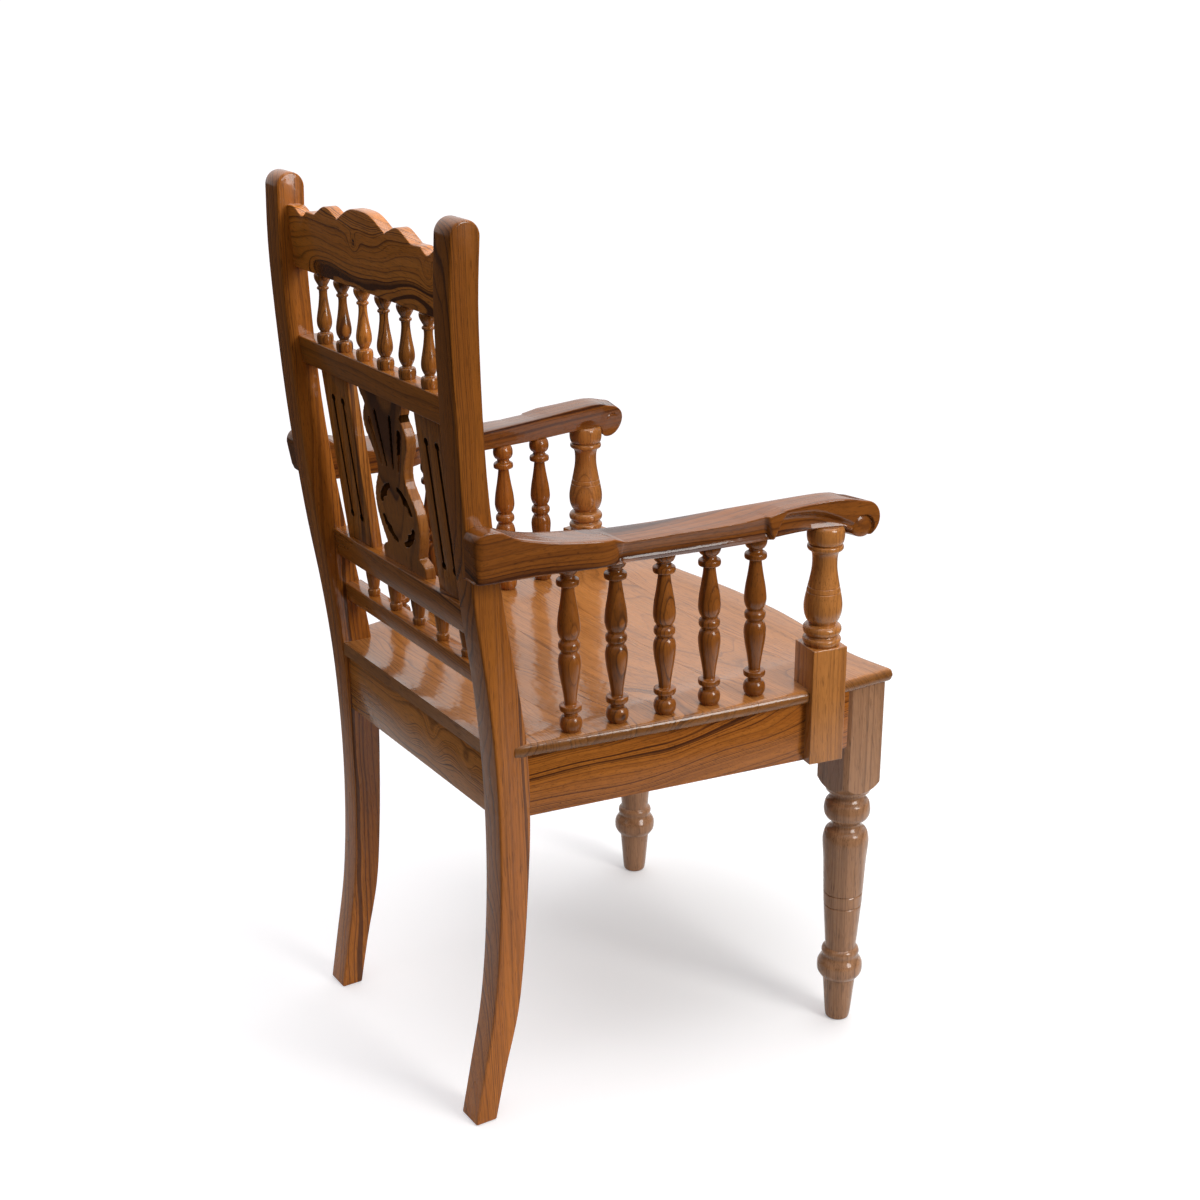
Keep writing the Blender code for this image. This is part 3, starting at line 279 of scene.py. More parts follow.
def teak(name, grain, pale, warm, line, pith, width=0.007, figure=0.5, tone=0.0, seed=0.0, wander=0.02,
         shine=0.22, swirl=0.0, knots=(), height_shade=None, coat=0.45, ends=1.0, pierced=False):
    """Lacquered teak. grain is the axis that the fibres follow, pith a point beside the piece that its rings
    are round, width the usual distance between dark lines, and figure how strong they are. swirl bends the
    rings to and fro, and each knot (x, y, z, size, push) pushes them aside. height_shade is painted shade, the
    tone at some heights, and ends that of the end grain. A pierced piece gets painted shade, dull and dark,
    where its points are marked hollow."""
    material = bpy.data.materials.new(name)
    material.use_nodes = True
    tree = material.node_tree
    node, calc = partial(node_in, tree), partial(calc_in, tree)
    vector = partial(calc_in, tree, kind="ShaderNodeVectorMath")

    def moved(place, **change):
        return node("ShaderNodeMapping", Vector=place, **change).outputs[0]

    def noise(output="Fac", **settings):
        return node("ShaderNodeTexNoise", **settings).outputs[output]

    def marked(attribute):
        return node("ShaderNodeAttribute", attribute_name=attribute).outputs["Fac"]

    def ramp(value, stops):
        made = node("ShaderNodeValToRGB", Fac=value)
        marks = made.color_ramp.elements
        marks.remove(marks[-1])
        for k, (place, level) in enumerate(stops):
            mark = marks.new(place) if k else marks[0]
            mark.position = place
            mark.color = (level, level, level, 1.0)
        return made.outputs["Color"]

    def mix(kind, factor, a, b):
        made = node("ShaderNodeMix", data_type="RGBA", blend_type=kind)
        sockets = {socket.identifier: socket for socket in made.inputs}
        for key, value in (("Factor_Float", factor), ("A_Color", a), ("B_Color", b)):
            plug(tree, sockets[key], (*value, 1.0) if isinstance(value, tuple) else value)
        return next(socket for socket in made.outputs if socket.identifier == "Result_Color")

    # the place in the log: round the pith and along it, swayed, and pushed aside by knots
    where = node("ShaderNodeTexCoord").outputs["Object"]
    turn = {"X": (0.0, -math.pi / 2, 0.0), "Y": (math.pi / 2, 0.0, 0.0), "Z": (0.0, 0.0, 0.0)}[grain]
    in_log = moved(moved(where, Location=tuple(-p for p in pith)), Rotation=turn)
    tilted = moved(in_log, Rotation=(0.05, 0.035, 0.0))
    drawn = moved(tilted, Location=(seed, seed * 0.7, seed * 1.3), Scale=(1.0, 1.0, 0.16))
    sway = noise("Color", Vector=drawn, Scale=11.0, Detail=2.0, Roughness=0.45)
    pushed = vector("MULTIPLY", vector("SUBTRACT", sway, (0.5, 0.5, 0.5)), (wander, wander, 0.0))
    depth = vector("LENGTH", vector("MULTIPLY", vector("ADD", tilted, pushed), (1.0, 1.0, 0.0)))
    if swirl:
        curled = moved(tilted, Location=(seed, 2.0 * seed, 0.0), Scale=(1.0, 1.0, 0.45))
        curl = noise(Vector=curled, Scale=17.0, Detail=1.5, Roughness=0.4)
        depth = calc("ADD", depth, calc("MULTIPLY", calc("SUBTRACT", curl, 0.5), swirl))
    for x, y, z, size, push in knots:
        near = calc("POWER", calc("MULTIPLY", vector("DISTANCE", where, (x, y, z)), 1.0 / size), 2.0)
        depth = calc("ADD", depth, calc("MULTIPLY", calc("EXPONENT", calc("MULTIPLY", near, -1.0)), push))

    # uneven years, each with a dark line at its end, and groups of stronger and weaker lines
    rings = calc("MULTIPLY", depth, 1.0 / width)
    uneven = noise(noise_dimensions="1D", W=rings, Scale=0.55, Detail=1.0, Roughness=0.5)
    years = calc("ADD", rings, calc("MULTIPLY", uneven, 2.6))
    lines = ramp(
        calc("FRACT", years),
        ((0.0, 0.75), (0.07, 0.05), (0.45, 0.0), (0.78, 0.22), (0.95, 1.0), (1.0, 0.95))
    )
    slow = noise(Vector=drawn, Scale=19.0, Detail=3.0, Roughness=0.5)
    age = node("ShaderNodeTexWhiteNoise", noise_dimensions="1D", W=calc("FLOOR", years)).outputs["Value"]
    ground = mix("MIX", calc("ADD", calc("MULTIPLY", slow, 0.85), calc("MULTIPLY", age, 0.3)), warm, pale)
    spread = calc("ADD", calc("MULTIPLY", rings, 0.16), calc("MULTIPLY", slow, 1.2))
    groups = noise(noise_dimensions="1D", W=spread, Scale=1.0, Detail=0.0)
    strength = calc("MULTIPLY", ramp(groups, ((0.32, 0.42), (0.6, 1.0))),
                    calc("ADD", calc("MULTIPLY", age, 0.75), 0.45))
    inked = calc("MINIMUM", calc("MULTIPLY", calc("MULTIPLY", lines, strength), 1.35 * figure), 0.92)
    lined = mix("MIX", inked, ground, line)

    # fibres, pores and broad changes of tone
    strands = moved(tilted, Scale=(1.0, 1.0, 0.045))
    fibre = noise(Vector=strands, Scale=420.0, Detail=3.0, Roughness=0.6)
    fibred = mix("MULTIPLY", 0.55, lined, ramp(fibre, ((0.3, 0.62), (0.52, 1.0), (0.75, 1.12))))
    pore = noise(Vector=strands, Scale=1150.0, Detail=1.0, Roughness=0.5)
    pitted = mix("MULTIPLY", 0.6, fibred, ramp(pore, ((0.3, 0.25), (0.39, 1.0))))
    wide = noise(Vector=drawn, Scale=5.0, Detail=1.0)
    toned = mix("MULTIPLY", 0.5, pitted, ramp(wide, ((0.3, 0.62 + tone), (0.7, 1.22 + tone))))
    if ends < 1.0:
        facing = node(
            "ShaderNodeSeparateXYZ", Vector=node("ShaderNodeTexCoord").outputs["Normal"]
        ).outputs[grain]
        toned = mix("MULTIPLY", 1.0, toned, ramp(calc("ABSOLUTE", facing), ((0.35, 1.0), (0.85, ends))))
    # painted shade: the tone changes with height, darker towards the top of the legs
    if height_shade:
        height = node("ShaderNodeSeparateXYZ", Vector=where).outputs["Z"]
        toned = mix("MULTIPLY", 1.0, toned, ramp(height, height_shade))
    if "spindle" in name or "turned" in name:
        toned = mix("MULTIPLY", 1.0, toned, ramp(marked("tone"), ((0.0, 0.5), (0.5, 1.0), (1.0, 1.7))))
    specular = 0.18
    # painted shade: the walls of the openings are darkened and lose their gloss
    if pierced:
        hollow = marked("hollow")
        toned = mix("MULTIPLY", 1.0, toned, ramp(hollow, ((0.0, 1.0), (1.0, 0.12))))
        coat, specular = (ramp(hollow, ((0.0, value), (1.0, 0.0))) for value in (coat, specular))

    # the lacquer: a clear coat, a little uneven from the hand
    gloss = calc("ADD", shine, calc("MULTIPLY", slow, 0.12))
    ripple = noise(Vector=where, Scale=85.0, Detail=1.0)
    raised = calc("ADD", calc("MULTIPLY", ripple, 0.8), calc("MULTIPLY", fibre, 0.2))
    bump = node("ShaderNodeBump", Strength=0.3, Distance=0.0012, Height=raised).outputs[0]
    shader = tree.nodes["Principled BSDF"]
    for key, value in (("Base Color", toned), ("Roughness", gloss), ("Specular IOR Level", specular),
                       ("Coat Weight", coat), ("Coat Roughness", 0.06), ("Coat IOR", 1.48), ("Normal", bump),
                       ("Coat Normal", bump)):
        plug(tree, shader.inputs[key], value)
    return material


PALE = (0.49, 0.16, 0.021)
WARM = (0.27, 0.073, 0.0085)
DARK = (0.05, 0.012, 0.0035)


def leg_outer(z):
    """Half the width over the rear legs, which spread towards the top."""
    return LEG_FOOT_X + LEG_SPREAD * z / LEG_TOP[2]


def leg_axes(y, z, across, side):
    return (side * (leg_outer(z) - across), y + HEEL, z)


def leg_outline():
    rear = [Vector((y, z)) for z, y, depth in LEG_SIDE]
    front = [Vector((y - depth, z)) for z, y, depth in LEG_SIDE]
    radius = LEG_TOP[1] / 2
    middle = Vector((LEG_TOP[0] - radius, LEG_TOP[2] - radius))
    rear = through(rear + [Vector((LEG_TOP[0], LEG_TOP[2] - radius))], 5)
    front = through(front + [Vector((LEG_TOP[0] - LEG_TOP[1], LEG_TOP[2] - radius))], 5)
    arc = [
        middle + radius * Vector((math.cos(math.pi * k / 18), math.sin(math.pi * k / 18)))
        for k in range(1, 18)
    ]
    return rear + arc + front[::-1]


# Both rear legs have painted shade, darker towards the top, the right one much more.
leg_teak = {1: teak("left rear leg teak", "Z", PALE, WARM, (0.105, 0.032, 0.008), (0.3, 0.33, 0.0), 0.0048,
                    1.05, seed=3.0, wander=0.012, swirl=0.01, height_shade=((0.1, 1.08), (0.6, 1.0), (1.0, 0.95))),
            -1: teak("right rear leg teak", "Z", PALE, WARM, (0.105, 0.032, 0.008), (-0.15, 0.335, 0.0),
                     0.0046, 0.85, seed=8.0, wander=0.012, swirl=0.01,
                     height_shade=((0.1, 1.1), (0.6, 0.88), (1.0, 0.66)))}
for side, label in HALVES:
    leg = sawn(f"rear_leg_{label}_plank", leg_outline(), 0.0, LEG_PLANK, partial(leg_axes, side=side),
               leg_teak[side])
    soften(leg, 0.0028, 4)
    fit(leg, "sawn_teak", f"rear_leg_{label}")

# Seat frame: four straight teak rails, tenoned into the legs, with their lower edges eased.
# The side rails run outside the rear legs' inner faces and are kinked where the arm posts lap them.
SIDE_RAIL = ((-0.066, 0.2045), (-0.408, 0.2594), (-0.4225, 0.2615), (-0.472, 0.2615))
RAIL_REAR_Y, RAIL_FRONT_Y = -0.072, -0.525
SIDE_RAIL_THICK, RAIL_END_TRIM = 0.0243, (0.0008, 0.005)
RAIL_TOP, RAIL_TOP_RISE, RAIL_BOTTOM, RAIL_BOTTOM_RISE = 0.4555, 0.0135, 0.3822, 0.014
GLUE_GAP = 0.0003


def under_seat(y):
    """The rails' upper faces, where the seat lies: they rise a little to the front."""
    return RAIL_TOP + RAIL_TOP_RISE * (RAIL_REAR_Y - y)


def under_rail(y):
    return RAIL_BOTTOM + RAIL_BOTTOM_RISE * (RAIL_REAR_Y - y)


rail_teak = {1: teak("left side rail teak", "Y", PALE, WARM, DARK, (0.28, 0.0, 0.36), 0.0065, 0.6,
                     seed=1.4, wander=0.03),
             -1: teak("right side rail teak", "Y", PALE, WARM, DARK, (-0.205, 0.0, 0.485), 0.0036, 1.05,
                      seed=5.1, wander=0.02, swirl=0.017)}
for side, label in HALVES:
    plan = [(x, y) for y, x in SIDE_RAIL] + [(x - SIDE_RAIL_THICK, y) for y, x in reversed(SIDE_RAIL)]
    for end in (0, -1):
        plan[end] = (plan[end][0] - RAIL_END_TRIM[0], plan[end][1] + RAIL_END_TRIM[1])
    lows = [(side * x, y + HEEL, under_rail(y)) for x, y in plan]
    highs = [(side * x, y + HEEL, under_seat(y) - GLUE_GAP) for x, y in plan]
    faces = [tuple(range(8)), tuple(range(8, 16))]
    faces += [(i, (i + 1) % 8, 8 + (i + 1) % 8, 8 + i) for i in range(8)]
    rail = mesh_of(f"side_rail_{label}_plank", lows + highs, faces, rail_teak[side])
    soften(rail, 0.0012, 2)
    fit(rail, "sawn_teak", f"side_rail_{label}")

cross_teak = teak("rear rail teak", "X", (0.72, 0.28, 0.065), (0.46, 0.155, 0.03), DARK,
                  (0.05, 0.31, 0.33), 0.0046, 0.85, seed=2.2, wander=0.03, swirl=0.05,
                  knots=((-0.045, 0.226, 0.42, 0.022, 0.02), (-0.125, 0.226, 0.428, 0.014, 0.013)))
# name, rear face, thickness, half the length, where the lower edge is level with the side rails
for name, rear, depth, reach, level_at in (("rear_rail", -0.0362, 0.023, 0.1722, RAIL_REAR_Y),
                                           ("front_rail", -0.503, 0.022, 0.2045, RAIL_FRONT_Y)):
    low, high = under_rail(level_at), under_seat(rear) - GLUE_GAP
    outline = [(rear, low), (rear, high), (rear - depth, high), (rear - depth, low)]
    rail = sawn(f"{name}_plank", outline, -reach, reach, plain_axes, cross_teak)
    soften(rail, 0.0012, 2)
    fit(rail, "sawn_teak", name)

# Front legs: a square block with chamfered corners, turned below into a ball, a long taper with two
# pairs of cut lines, a stack of rings and a tapered foot. Darker wood, sharp reflections.
LEG_MIDDLE, LEG_BLOCK_HALF, LEG_CHAMFER = (0.233, -0.501), 0.029, 0.005
# radius, height, and 1 where the outline has a corner
FRONT_LEG = (
    (0.044, 0.339, 1), (0.0395, 0.3335), (0.034, 0.3262), (0.0283, 0.3205), (0.0268, 0.3165, 1),
    (0.0202, 0.313), (0.0197, 0.3085), (0.0222, 0.3045, 1), (0.0262, 0.301), (0.0282, 0.2925),
    (0.0276, 0.285), (0.025, 0.28, 1), (0.0186, 0.2745), (0.018, 0.27), (0.0205, 0.266, 1),
    (0.0255, 0.2615), (0.028, 0.251), (0.0276, 0.239), (0.0262, 0.223), (0.0245, 0.1835),
    (0.0243, 0.1795, 1), (0.0232, 0.178), (0.0241, 0.1765, 1), (0.0236, 0.164), (0.0234, 0.1625, 1),
    (0.0222, 0.161), (0.0231, 0.1595, 1), (0.0225, 0.15), (0.0192, 0.106), (0.019, 0.101, 1),
    (0.022, 0.0985), (0.0232, 0.0945), (0.0222, 0.09, 1), (0.0232, 0.087), (0.0272, 0.08), (0.0281, 0.0735),
    (0.0272, 0.0665), (0.0235, 0.0605, 1), (0.0205, 0.059), (0.0199, 0.0545), (0.018, 0.033),
    (0.0163, 0.013), (0.0152, 0.004), (0.0142, 0.001), (0.0125, 0.0, 1))


def drawn_line(rows, parts=6):
    """The outline of a turning: smooth between the rows that are corners."""
    line, run = [], []
    for radius, height, *corner in rows:
        run.append((radius, height))
        if corner and len(run) > 1:
            line += through(run, parts)[:-1]
            run = [(radius, height)]
    if len(run) > 1:
        line += through(run, parts)[:-1]
    return line + [Vector(rows[-1][:2])]


def lathe(name, rows, at, material, sides=56, parts=5):
    line = drawn_line(rows, parts)
    turns = [math.tau * i / sides for i in range(sides)]
    points = [(at[0] + p.x * math.cos(a), at[1] + p.x * math.sin(a), p.y) for p in line for a in turns]
    faces = [tuple(range(sides)), tuple(range(len(points) - sides, len(points)))]
    for k in range(0, len(points) - sides, sides):
        faces += [(k + i, k + (i + 1) % sides, k + sides + (i + 1) % sides, k + sides + i)
                  for i in range(sides)]
    made = mesh_of(name, points, faces, material)
    shade(made, 33.0)
    return made


turned_teak = teak(
    "turned leg teak", "Z", (0.5, 0.255, 0.13), (0.31, 0.145, 0.066), (0.11, 0.045, 0.02),
    (0.05, 0.0, 0.0), 0.0075, 0.5, seed=6.0, wander=0.012, coat=0.6
)


def toned(piece, value):
    """Each turned piece comes from another stick, so it has its own tone."""
    mark = piece.data.attributes.new("tone", "FLOAT", "POINT")
    mark.data.foreach_set("value", [value] * len(piece.data.vertices))


def clip(piece, tool, operation):
    step = piece.modifiers.new("cut", "BOOLEAN")
    step.operation = operation
    step.solver = "EXACT"
    step.object = tool
    settle(piece)
    bpy.data.objects.remove(tool, do_unlink=True)


for side, label in HALVES:
    x, y = side * LEG_MIDDLE[0], LEG_MIDDLE[1] + HEEL
    whole = lathe(f"front_leg_{label}_turning", ((0.044, 0.5, 1),) + FRONT_LEG, (x, y), turned_teak, 64)
    h, c = LEG_BLOCK_HALF, LEG_CHAMFER
    corners = [(h - c, -h), (h, c - h), (h, h - c), (h - c, h), (c - h, h), (-h, h - c), (-h, c - h),
               (c - h, -h)]

    def block_axes(u, v, upper, x=x, y=y):
        return (x + u, y + v, under_seat(LEG_MIDDLE[1] + v) - GLUE_GAP if upper else -0.02)

    clip(whole, sawn("space", corners, 0, 1, block_axes), "INTERSECT")
    toned(whole, 0.5)
    shade(whole, 33.0)
    fit(whole, "turned_teak", f"front_leg_{label}")

# Back rails: three straight rails between the rear legs, the lowest one low over the seat.
# Their rear faces lean back with the legs. Light catches their upper faces.
back_teak = teak(
    "back rail teak", "X", (0.47, 0.162, 0.026), (0.29, 0.085, 0.012), DARK, (0.0, 0.3, 0.7), 0.0068,
    0.6, seed=4.3, wander=0.02, swirl=0.015
)
for name, low_rear, high_rear, low, high, depth in (("mid_rail", -0.0003, 0.0035, 0.8235, 0.8555, 0.024),
                                                    ("lower_rail", -0.031, -0.0245, 0.5835, 0.6187, 0.025),
                                                    ("bottom_rail", -0.04, -0.0365, 0.524, 0.5475, 0.022)):
    outline = [(low_rear, low), (high_rear, high), (high_rear - depth, high), (low_rear - depth, low)]
    reach = leg_outer((low + high) / 2) - LEG_PLANK + 0.0012
    rail = sawn(f"{name}_plank", outline, -reach, reach, plain_axes, back_teak)
    soften(rail, 0.0014, 3)
    fit(rail, "sawn_teak", name)

# Crest rail: a thin board with a scalloped upper edge, two small hollows and a scroll on each half,
# and a broad chamfer along the rear lower edge. The boldest figure on the chair, with a knot.
CREST_HALF = (
    (0.0, 1.0215), (0.016, 1.0208), (0.026, 1.0188), (0.034, 1.016), (0.041, 1.0128), (0.048, 1.0095),
    (0.054, 1.0066), (0.0575, 1.0052), (0.061, 1.0072), (0.066, 1.009), (0.072, 1.0112), (0.078, 1.0134),
    (0.084, 1.0145), (0.09, 1.014), (0.097, 1.0116), (0.104, 1.0083), (0.111, 1.005), (0.117, 1.0025),
    (0.136, 1.0028), (0.14, 1.0003), (0.145, 0.9975), (0.1495, 0.9962), (0.154, 0.9972), (0.158, 0.999),
    (0.163, 1.0018), (0.169, 1.004), (0.176, 1.0047), (0.19, 1.0047))
CREST_END, CREST_LOW, CREST_REAR, CREST_THICK, CREST_LEAN = 0.19, 0.9345, 0.003, 0.015, 0.05
CREST_CHAMFER = [(0.01, -0.01), (0.01, 0.006), (-0.0052, -0.01)]


def crest_axes(x, z, share):
    return (x, CREST_REAR + CREST_LEAN * (z - CREST_LOW) - CREST_THICK * share + HEEL, z)


crest_teak = teak("crest teak", "X", (0.7, 0.24, 0.036), (0.44, 0.13, 0.017), DARK, (0.05, 0.33, 0.93),
                  0.0042, 1.05, seed=9.2, wander=0.03, swirl=0.034,
                  knots=((0.02, 0.265, 0.982, 0.012, 0.013), (-0.15, 0.265, 0.978, 0.012, 0.014)))
half_line = through(CREST_HALF, 3)
outline = [(-p.x, p.y) for p in reversed(half_line[1:])] + [tuple(p) for p in half_line]
outline += [(CREST_END, CREST_LOW), (-CREST_END, CREST_LOW)]
crest = sawn("crest_board", outline, 0.0, 1.0, crest_axes, crest_teak)
clip(crest, sawn("space", CREST_CHAMFER, -0.25, 0.25,
                 lambda y, z, x: (x, CREST_REAR + y + HEEL, CREST_LOW + z)), "DIFFERENCE")
soften(crest, 0.0011, 3, 30.0)
fit(crest, "carved_teak", "crest_rail")

# Splat and slats: thin boards in the plane of the back, tongued into the rails above and below.
# The splat is pierced and carved: a plume of petals, a waist, an oval ring round a lobed boss, a flared foot.
FOOT_Y, FOOT_Z, RAKE, THICK = -0.0325, 0.6187, 0.1225, 0.0125
SPLAT_HALF = (
    (0.053, 0.824), (0.051, 0.816), (0.043, 0.805), (0.0447, 0.7995), (0.049, 0.793), (0.0518, 0.7855),
    (0.052, 0.778), (0.0487, 0.768), (0.0415, 0.757), (0.0362, 0.747), (0.0333, 0.738), (0.033, 0.729),
    (0.0362, 0.7215), (0.0405, 0.715), (0.045, 0.708), (0.0492, 0.699), (0.0515, 0.6895), (0.0516, 0.676),
    (0.0482, 0.663), (0.043, 0.65), (0.0392, 0.642), (0.0392, 0.6385), (0.044, 0.6365), (0.0495, 0.633),
    (0.0515, 0.628), (0.0515, 0.618))
RING_Z, RING_HOLE, BOSS = 0.6815, (0.0405, 0.037), (0.0335, 0.0305)
# low end, high end, width at each
PETALS = (
    ((0.008, 0.739), (0.018, 0.799), 0.003, 0.0055), ((0.0205, 0.738), (0.0355, 0.784), 0.003, 0.0095)
)
SLAT_SIDES, SLAT_LOW, SLAT_HIGH = (0.0822, 0.1484), 0.618, 0.8242
SLOT_PLACES, SLOT_LOW, SLOT_HIGH, SLOT_WIDTH = (0.1017, 0.1262), 0.648, 0.794, 0.0042
DRILL_HEIGHTS, DRILL_REACH, DRILL = (0.6505, 0.7915), 0.0045, 0.0088


def half_turn(middle, radius, start=0.0, steps=8, rise=Vector((0.0, 1.0)), across=Vector((1.0, 0.0))):
    """Points of half a circle, for the round end of a slot."""
    angles = [start + math.pi * k / steps for k in range(steps + 1)]
    return [Vector(middle) + radius * (across * math.cos(a) + rise * math.sin(a)) for a in angles]


def board_axes(x, z, share):
    return (x, FOOT_Y + RAKE * (z - FOOT_Z) - THICK * share + HEEL, z)


def slot(x, low, high, width):
    half = width / 2
    return half_turn((x, high - half), half) + half_turn((x, low + half), half, math.pi)


def paint_hollow_shade(piece, inside):
    """Marks the walls of the openings, which get painted shade. inside says if a place is in one."""
    mark = piece.data.attributes.new("hollow", "FLOAT", "POINT")
    for vertex, value in zip(piece.data.vertices, mark.data):
        x, y, z = vertex.co
        share = (FOOT_Y + RAKE * (z - FOOT_Z) + HEEL - y) / THICK
        value.value = 1.0 if 0.03 < share < 0.97 and inside(abs(x), z) else 0.0


def carve(piece, grain_size):
    """One even skin over a cut shape, with its edges rubbed soft."""
    skin = piece.modifiers.new("skin", "REMESH")
    skin.mode = "VOXEL"
    skin.voxel_size = grain_size
    rub = piece.modifiers.new("rubbed", "SMOOTH")
    rub.factor = 0.5
    rub.iterations = 2
    settle(piece)
    for face in piece.data.polygons:
        face.use_smooth = True


slat_teak = teak(
    "slat teak", "Z", (0.48, 0.172, 0.032), (0.31, 0.1, 0.016), DARK, (0.2, 0.36, 0.0), 0.005, 0.7,
    seed=2.9, wander=0.012, pierced=True
)
for side, label in HALVES:
    low, high = sorted(side * x for x in SLAT_SIDES)
    outline = [(low, SLAT_LOW), (high, SLAT_LOW), (high, SLAT_HIGH), (low, SLAT_HIGH)]
    slat = sawn(f"slat_{label}_board", outline, 0.0, 1.0, board_axes, slat_teak)
    cuts = [slot(side * x, SLOT_LOW, SLOT_HIGH, SLOT_WIDTH) for x in SLOT_PLACES]
    cuts += [slot(side * x, z - DRILL_REACH, z + DRILL_REACH, DRILL)
             for x in SLOT_PLACES for z in DRILL_HEIGHTS]
    for cut in cuts:
        clip(slat, sawn("slot", cut, -0.5, 1.5, board_axes), "DIFFERENCE")
    soften(slat, 0.001, 3, 30.0)
    paint_hollow_shade(slat, lambda x, z: 0.09 < x < 0.14 and 0.64 < z < 0.802)
    fit(slat, "carved_teak", f"slat_{label}")

splat_teak = teak("splat teak", "Z", (0.44, 0.158, 0.03), (0.27, 0.088, 0.014), DARK, (0.03, 0.3, 0.0),
                  0.0065, 0.6, seed=7.7, wander=0.02, shine=0.34, swirl=0.01, coat=0.3, pierced=True)
half_line = [tuple(p) for p in through(SPLAT_HALF, 3)]
outline = half_line + [(-x, z) for x, z in reversed(half_line)]
splat = sawn("splat_board", outline, 0.0, 1.0, board_axes, splat_teak)


def crescent(start):
    a0, a1 = start + math.radians(13), start + math.radians(77)
    turns = [a0 + (a1 - a0) * k / 24 for k in range(25)]
    line = [(RING_HOLE[0] * math.cos(a), RING_Z + RING_HOLE[1] * math.sin(a)) for a in turns]
    for a in reversed(turns):
        lobe = 1.0 + 0.1 * math.cos(4 * a) + 0.035 * math.cos(12 * a)
        line.append((BOSS[0] * lobe * math.cos(a), RING_Z + BOSS[1] * lobe * math.sin(a)))
    return line


def petal(low, high, low_width, high_width, side):
    rise = Vector((high[0] - low[0], high[1] - low[1])).normalized()
    across = Vector((rise.y, -rise.x))
    line = half_turn(high, high_width / 2, 0.0, 9, rise, across)
    line += half_turn(low, low_width / 2, math.pi, 9, rise, across)
    return [(side * p.x, p.y) for p in line]


# where the splat's openings are, whose walls get painted shade
def pierced_splat(x, z):
    in_ring = math.hypot(x / 0.0425, (z - RING_Z) / 0.039) < 1.0
    return in_ring or (0.73 < z < 0.808 and x < 0.03 + 0.5 * (z - 0.77))


openings = [crescent(math.radians(90 * k)) for k in range(4)]
openings += [petal(*row, side) for side in (1, -1) for row in PETALS]
for outline in openings:
    clip(splat, sawn("space", outline, -0.5, 1.5, board_axes), "DIFFERENCE")
carve(splat, 0.0009)
paint_hollow_shade(splat, pierced_splat)
fit(splat, "carved_teak", "splat")

# Back spindles: two rows of small turned balusters, six under the crest and five over the bottom rail.
# All are turned to one outline a row, and each comes from another stick of teak.
UPPER = (
    (0.008, 1.0, 1), (0.0093, 0.985), (0.0095, 0.955), (0.0088, 0.915), (0.0068, 0.865), (0.0054, 0.835),
    (0.005, 0.818, 1), (0.0064, 0.808), (0.0068, 0.793), (0.0063, 0.776), (0.005, 0.768, 1), (0.0047, 0.72),
    (0.005, 0.65), (0.0062, 0.53), (0.008, 0.4), (0.0087, 0.32), (0.0082, 0.255), (0.0064, 0.2),
    (0.0054, 0.18, 1), (0.0052, 0.168), (0.0058, 0.158, 1), (0.0082, 0.148), (0.0092, 0.12),
    (0.0095, 0.075), (0.0092, 0.03), (0.0086, 0.0, 1))
LOWER = (
    (0.0082, 1.0, 1), (0.009, 0.93), (0.0091, 0.82), (0.0084, 0.64), (0.0072, 0.42), (0.0066, 0.3),
    (0.006, 0.262, 1), (0.0058, 0.235), (0.0062, 0.215, 1), (0.0072, 0.19), (0.0075, 0.12), (0.007, 0.03),
    (0.0064, 0.0, 1))


def spindle_tree():
    """A turned outline revolved on a lathe, then stood at each marked place and stretched to fit."""
    tree = bpy.data.node_groups.new("row of spindles", "GeometryNodeTree")
    node, face = partial(node_in, tree), tree.interface
    face.new_socket("Places", in_out="INPUT", socket_type="NodeSocketGeometry")
    kinds = {"Outline": "Object", "Sides": "Int", "Timber": "Material", "Lean": "Float"}
    keys = [face.new_socket(name, in_out="INPUT", socket_type=f"NodeSocket{kind}").identifier
            for name, kind in kinds.items()]
    face.new_socket("Spindles", in_out="OUTPUT", socket_type="NodeSocketGeometry")
    given = node("NodeGroupInput").outputs

    def marked(attribute):
        return node("GeometryNodeInputNamedAttribute", data_type="FLOAT", Name=attribute).outputs["Attribute"]

    drawn = node("GeometryNodeObjectInfo", Object=given["Outline"])
    spine = node("GeometryNodeMeshToCurve", Mesh=drawn.outputs["Geometry"])
    circle = node("GeometryNodeCurvePrimitiveCircle", Radius=1.0, Resolution=given["Sides"])
    lathed = node("GeometryNodeCurveToMesh", Fill_Caps=True, Curve=spine.outputs["Curve"],
                  Profile_Curve=circle.outputs["Curve"], Scale=marked("turning"))
    size = node("ShaderNodeCombineXYZ", X=1.0, Y=1.0, Z=marked("length"))
    tip = node("ShaderNodeCombineXYZ", X=given["Lean"])
    stand = node("GeometryNodeInstanceOnPoints", Points=given["Places"], Instance=lathed.outputs["Mesh"],
                 Scale=size.outputs["Vector"], Rotation=tip.outputs["Vector"])
    real = node("GeometryNodeRealizeInstances", Geometry=stand.outputs["Instances"])
    finish = node("GeometryNodeSetMaterial", Geometry=real.outputs["Geometry"], Material=given["Timber"])
    tree.links.new(finish.outputs["Geometry"], node("NodeGroupOutput").inputs["Spindles"])
    return tree, *keys


SPINDLE_TREE, OUTLINE, SIDES, TIMBER, LEAN = spindle_tree()


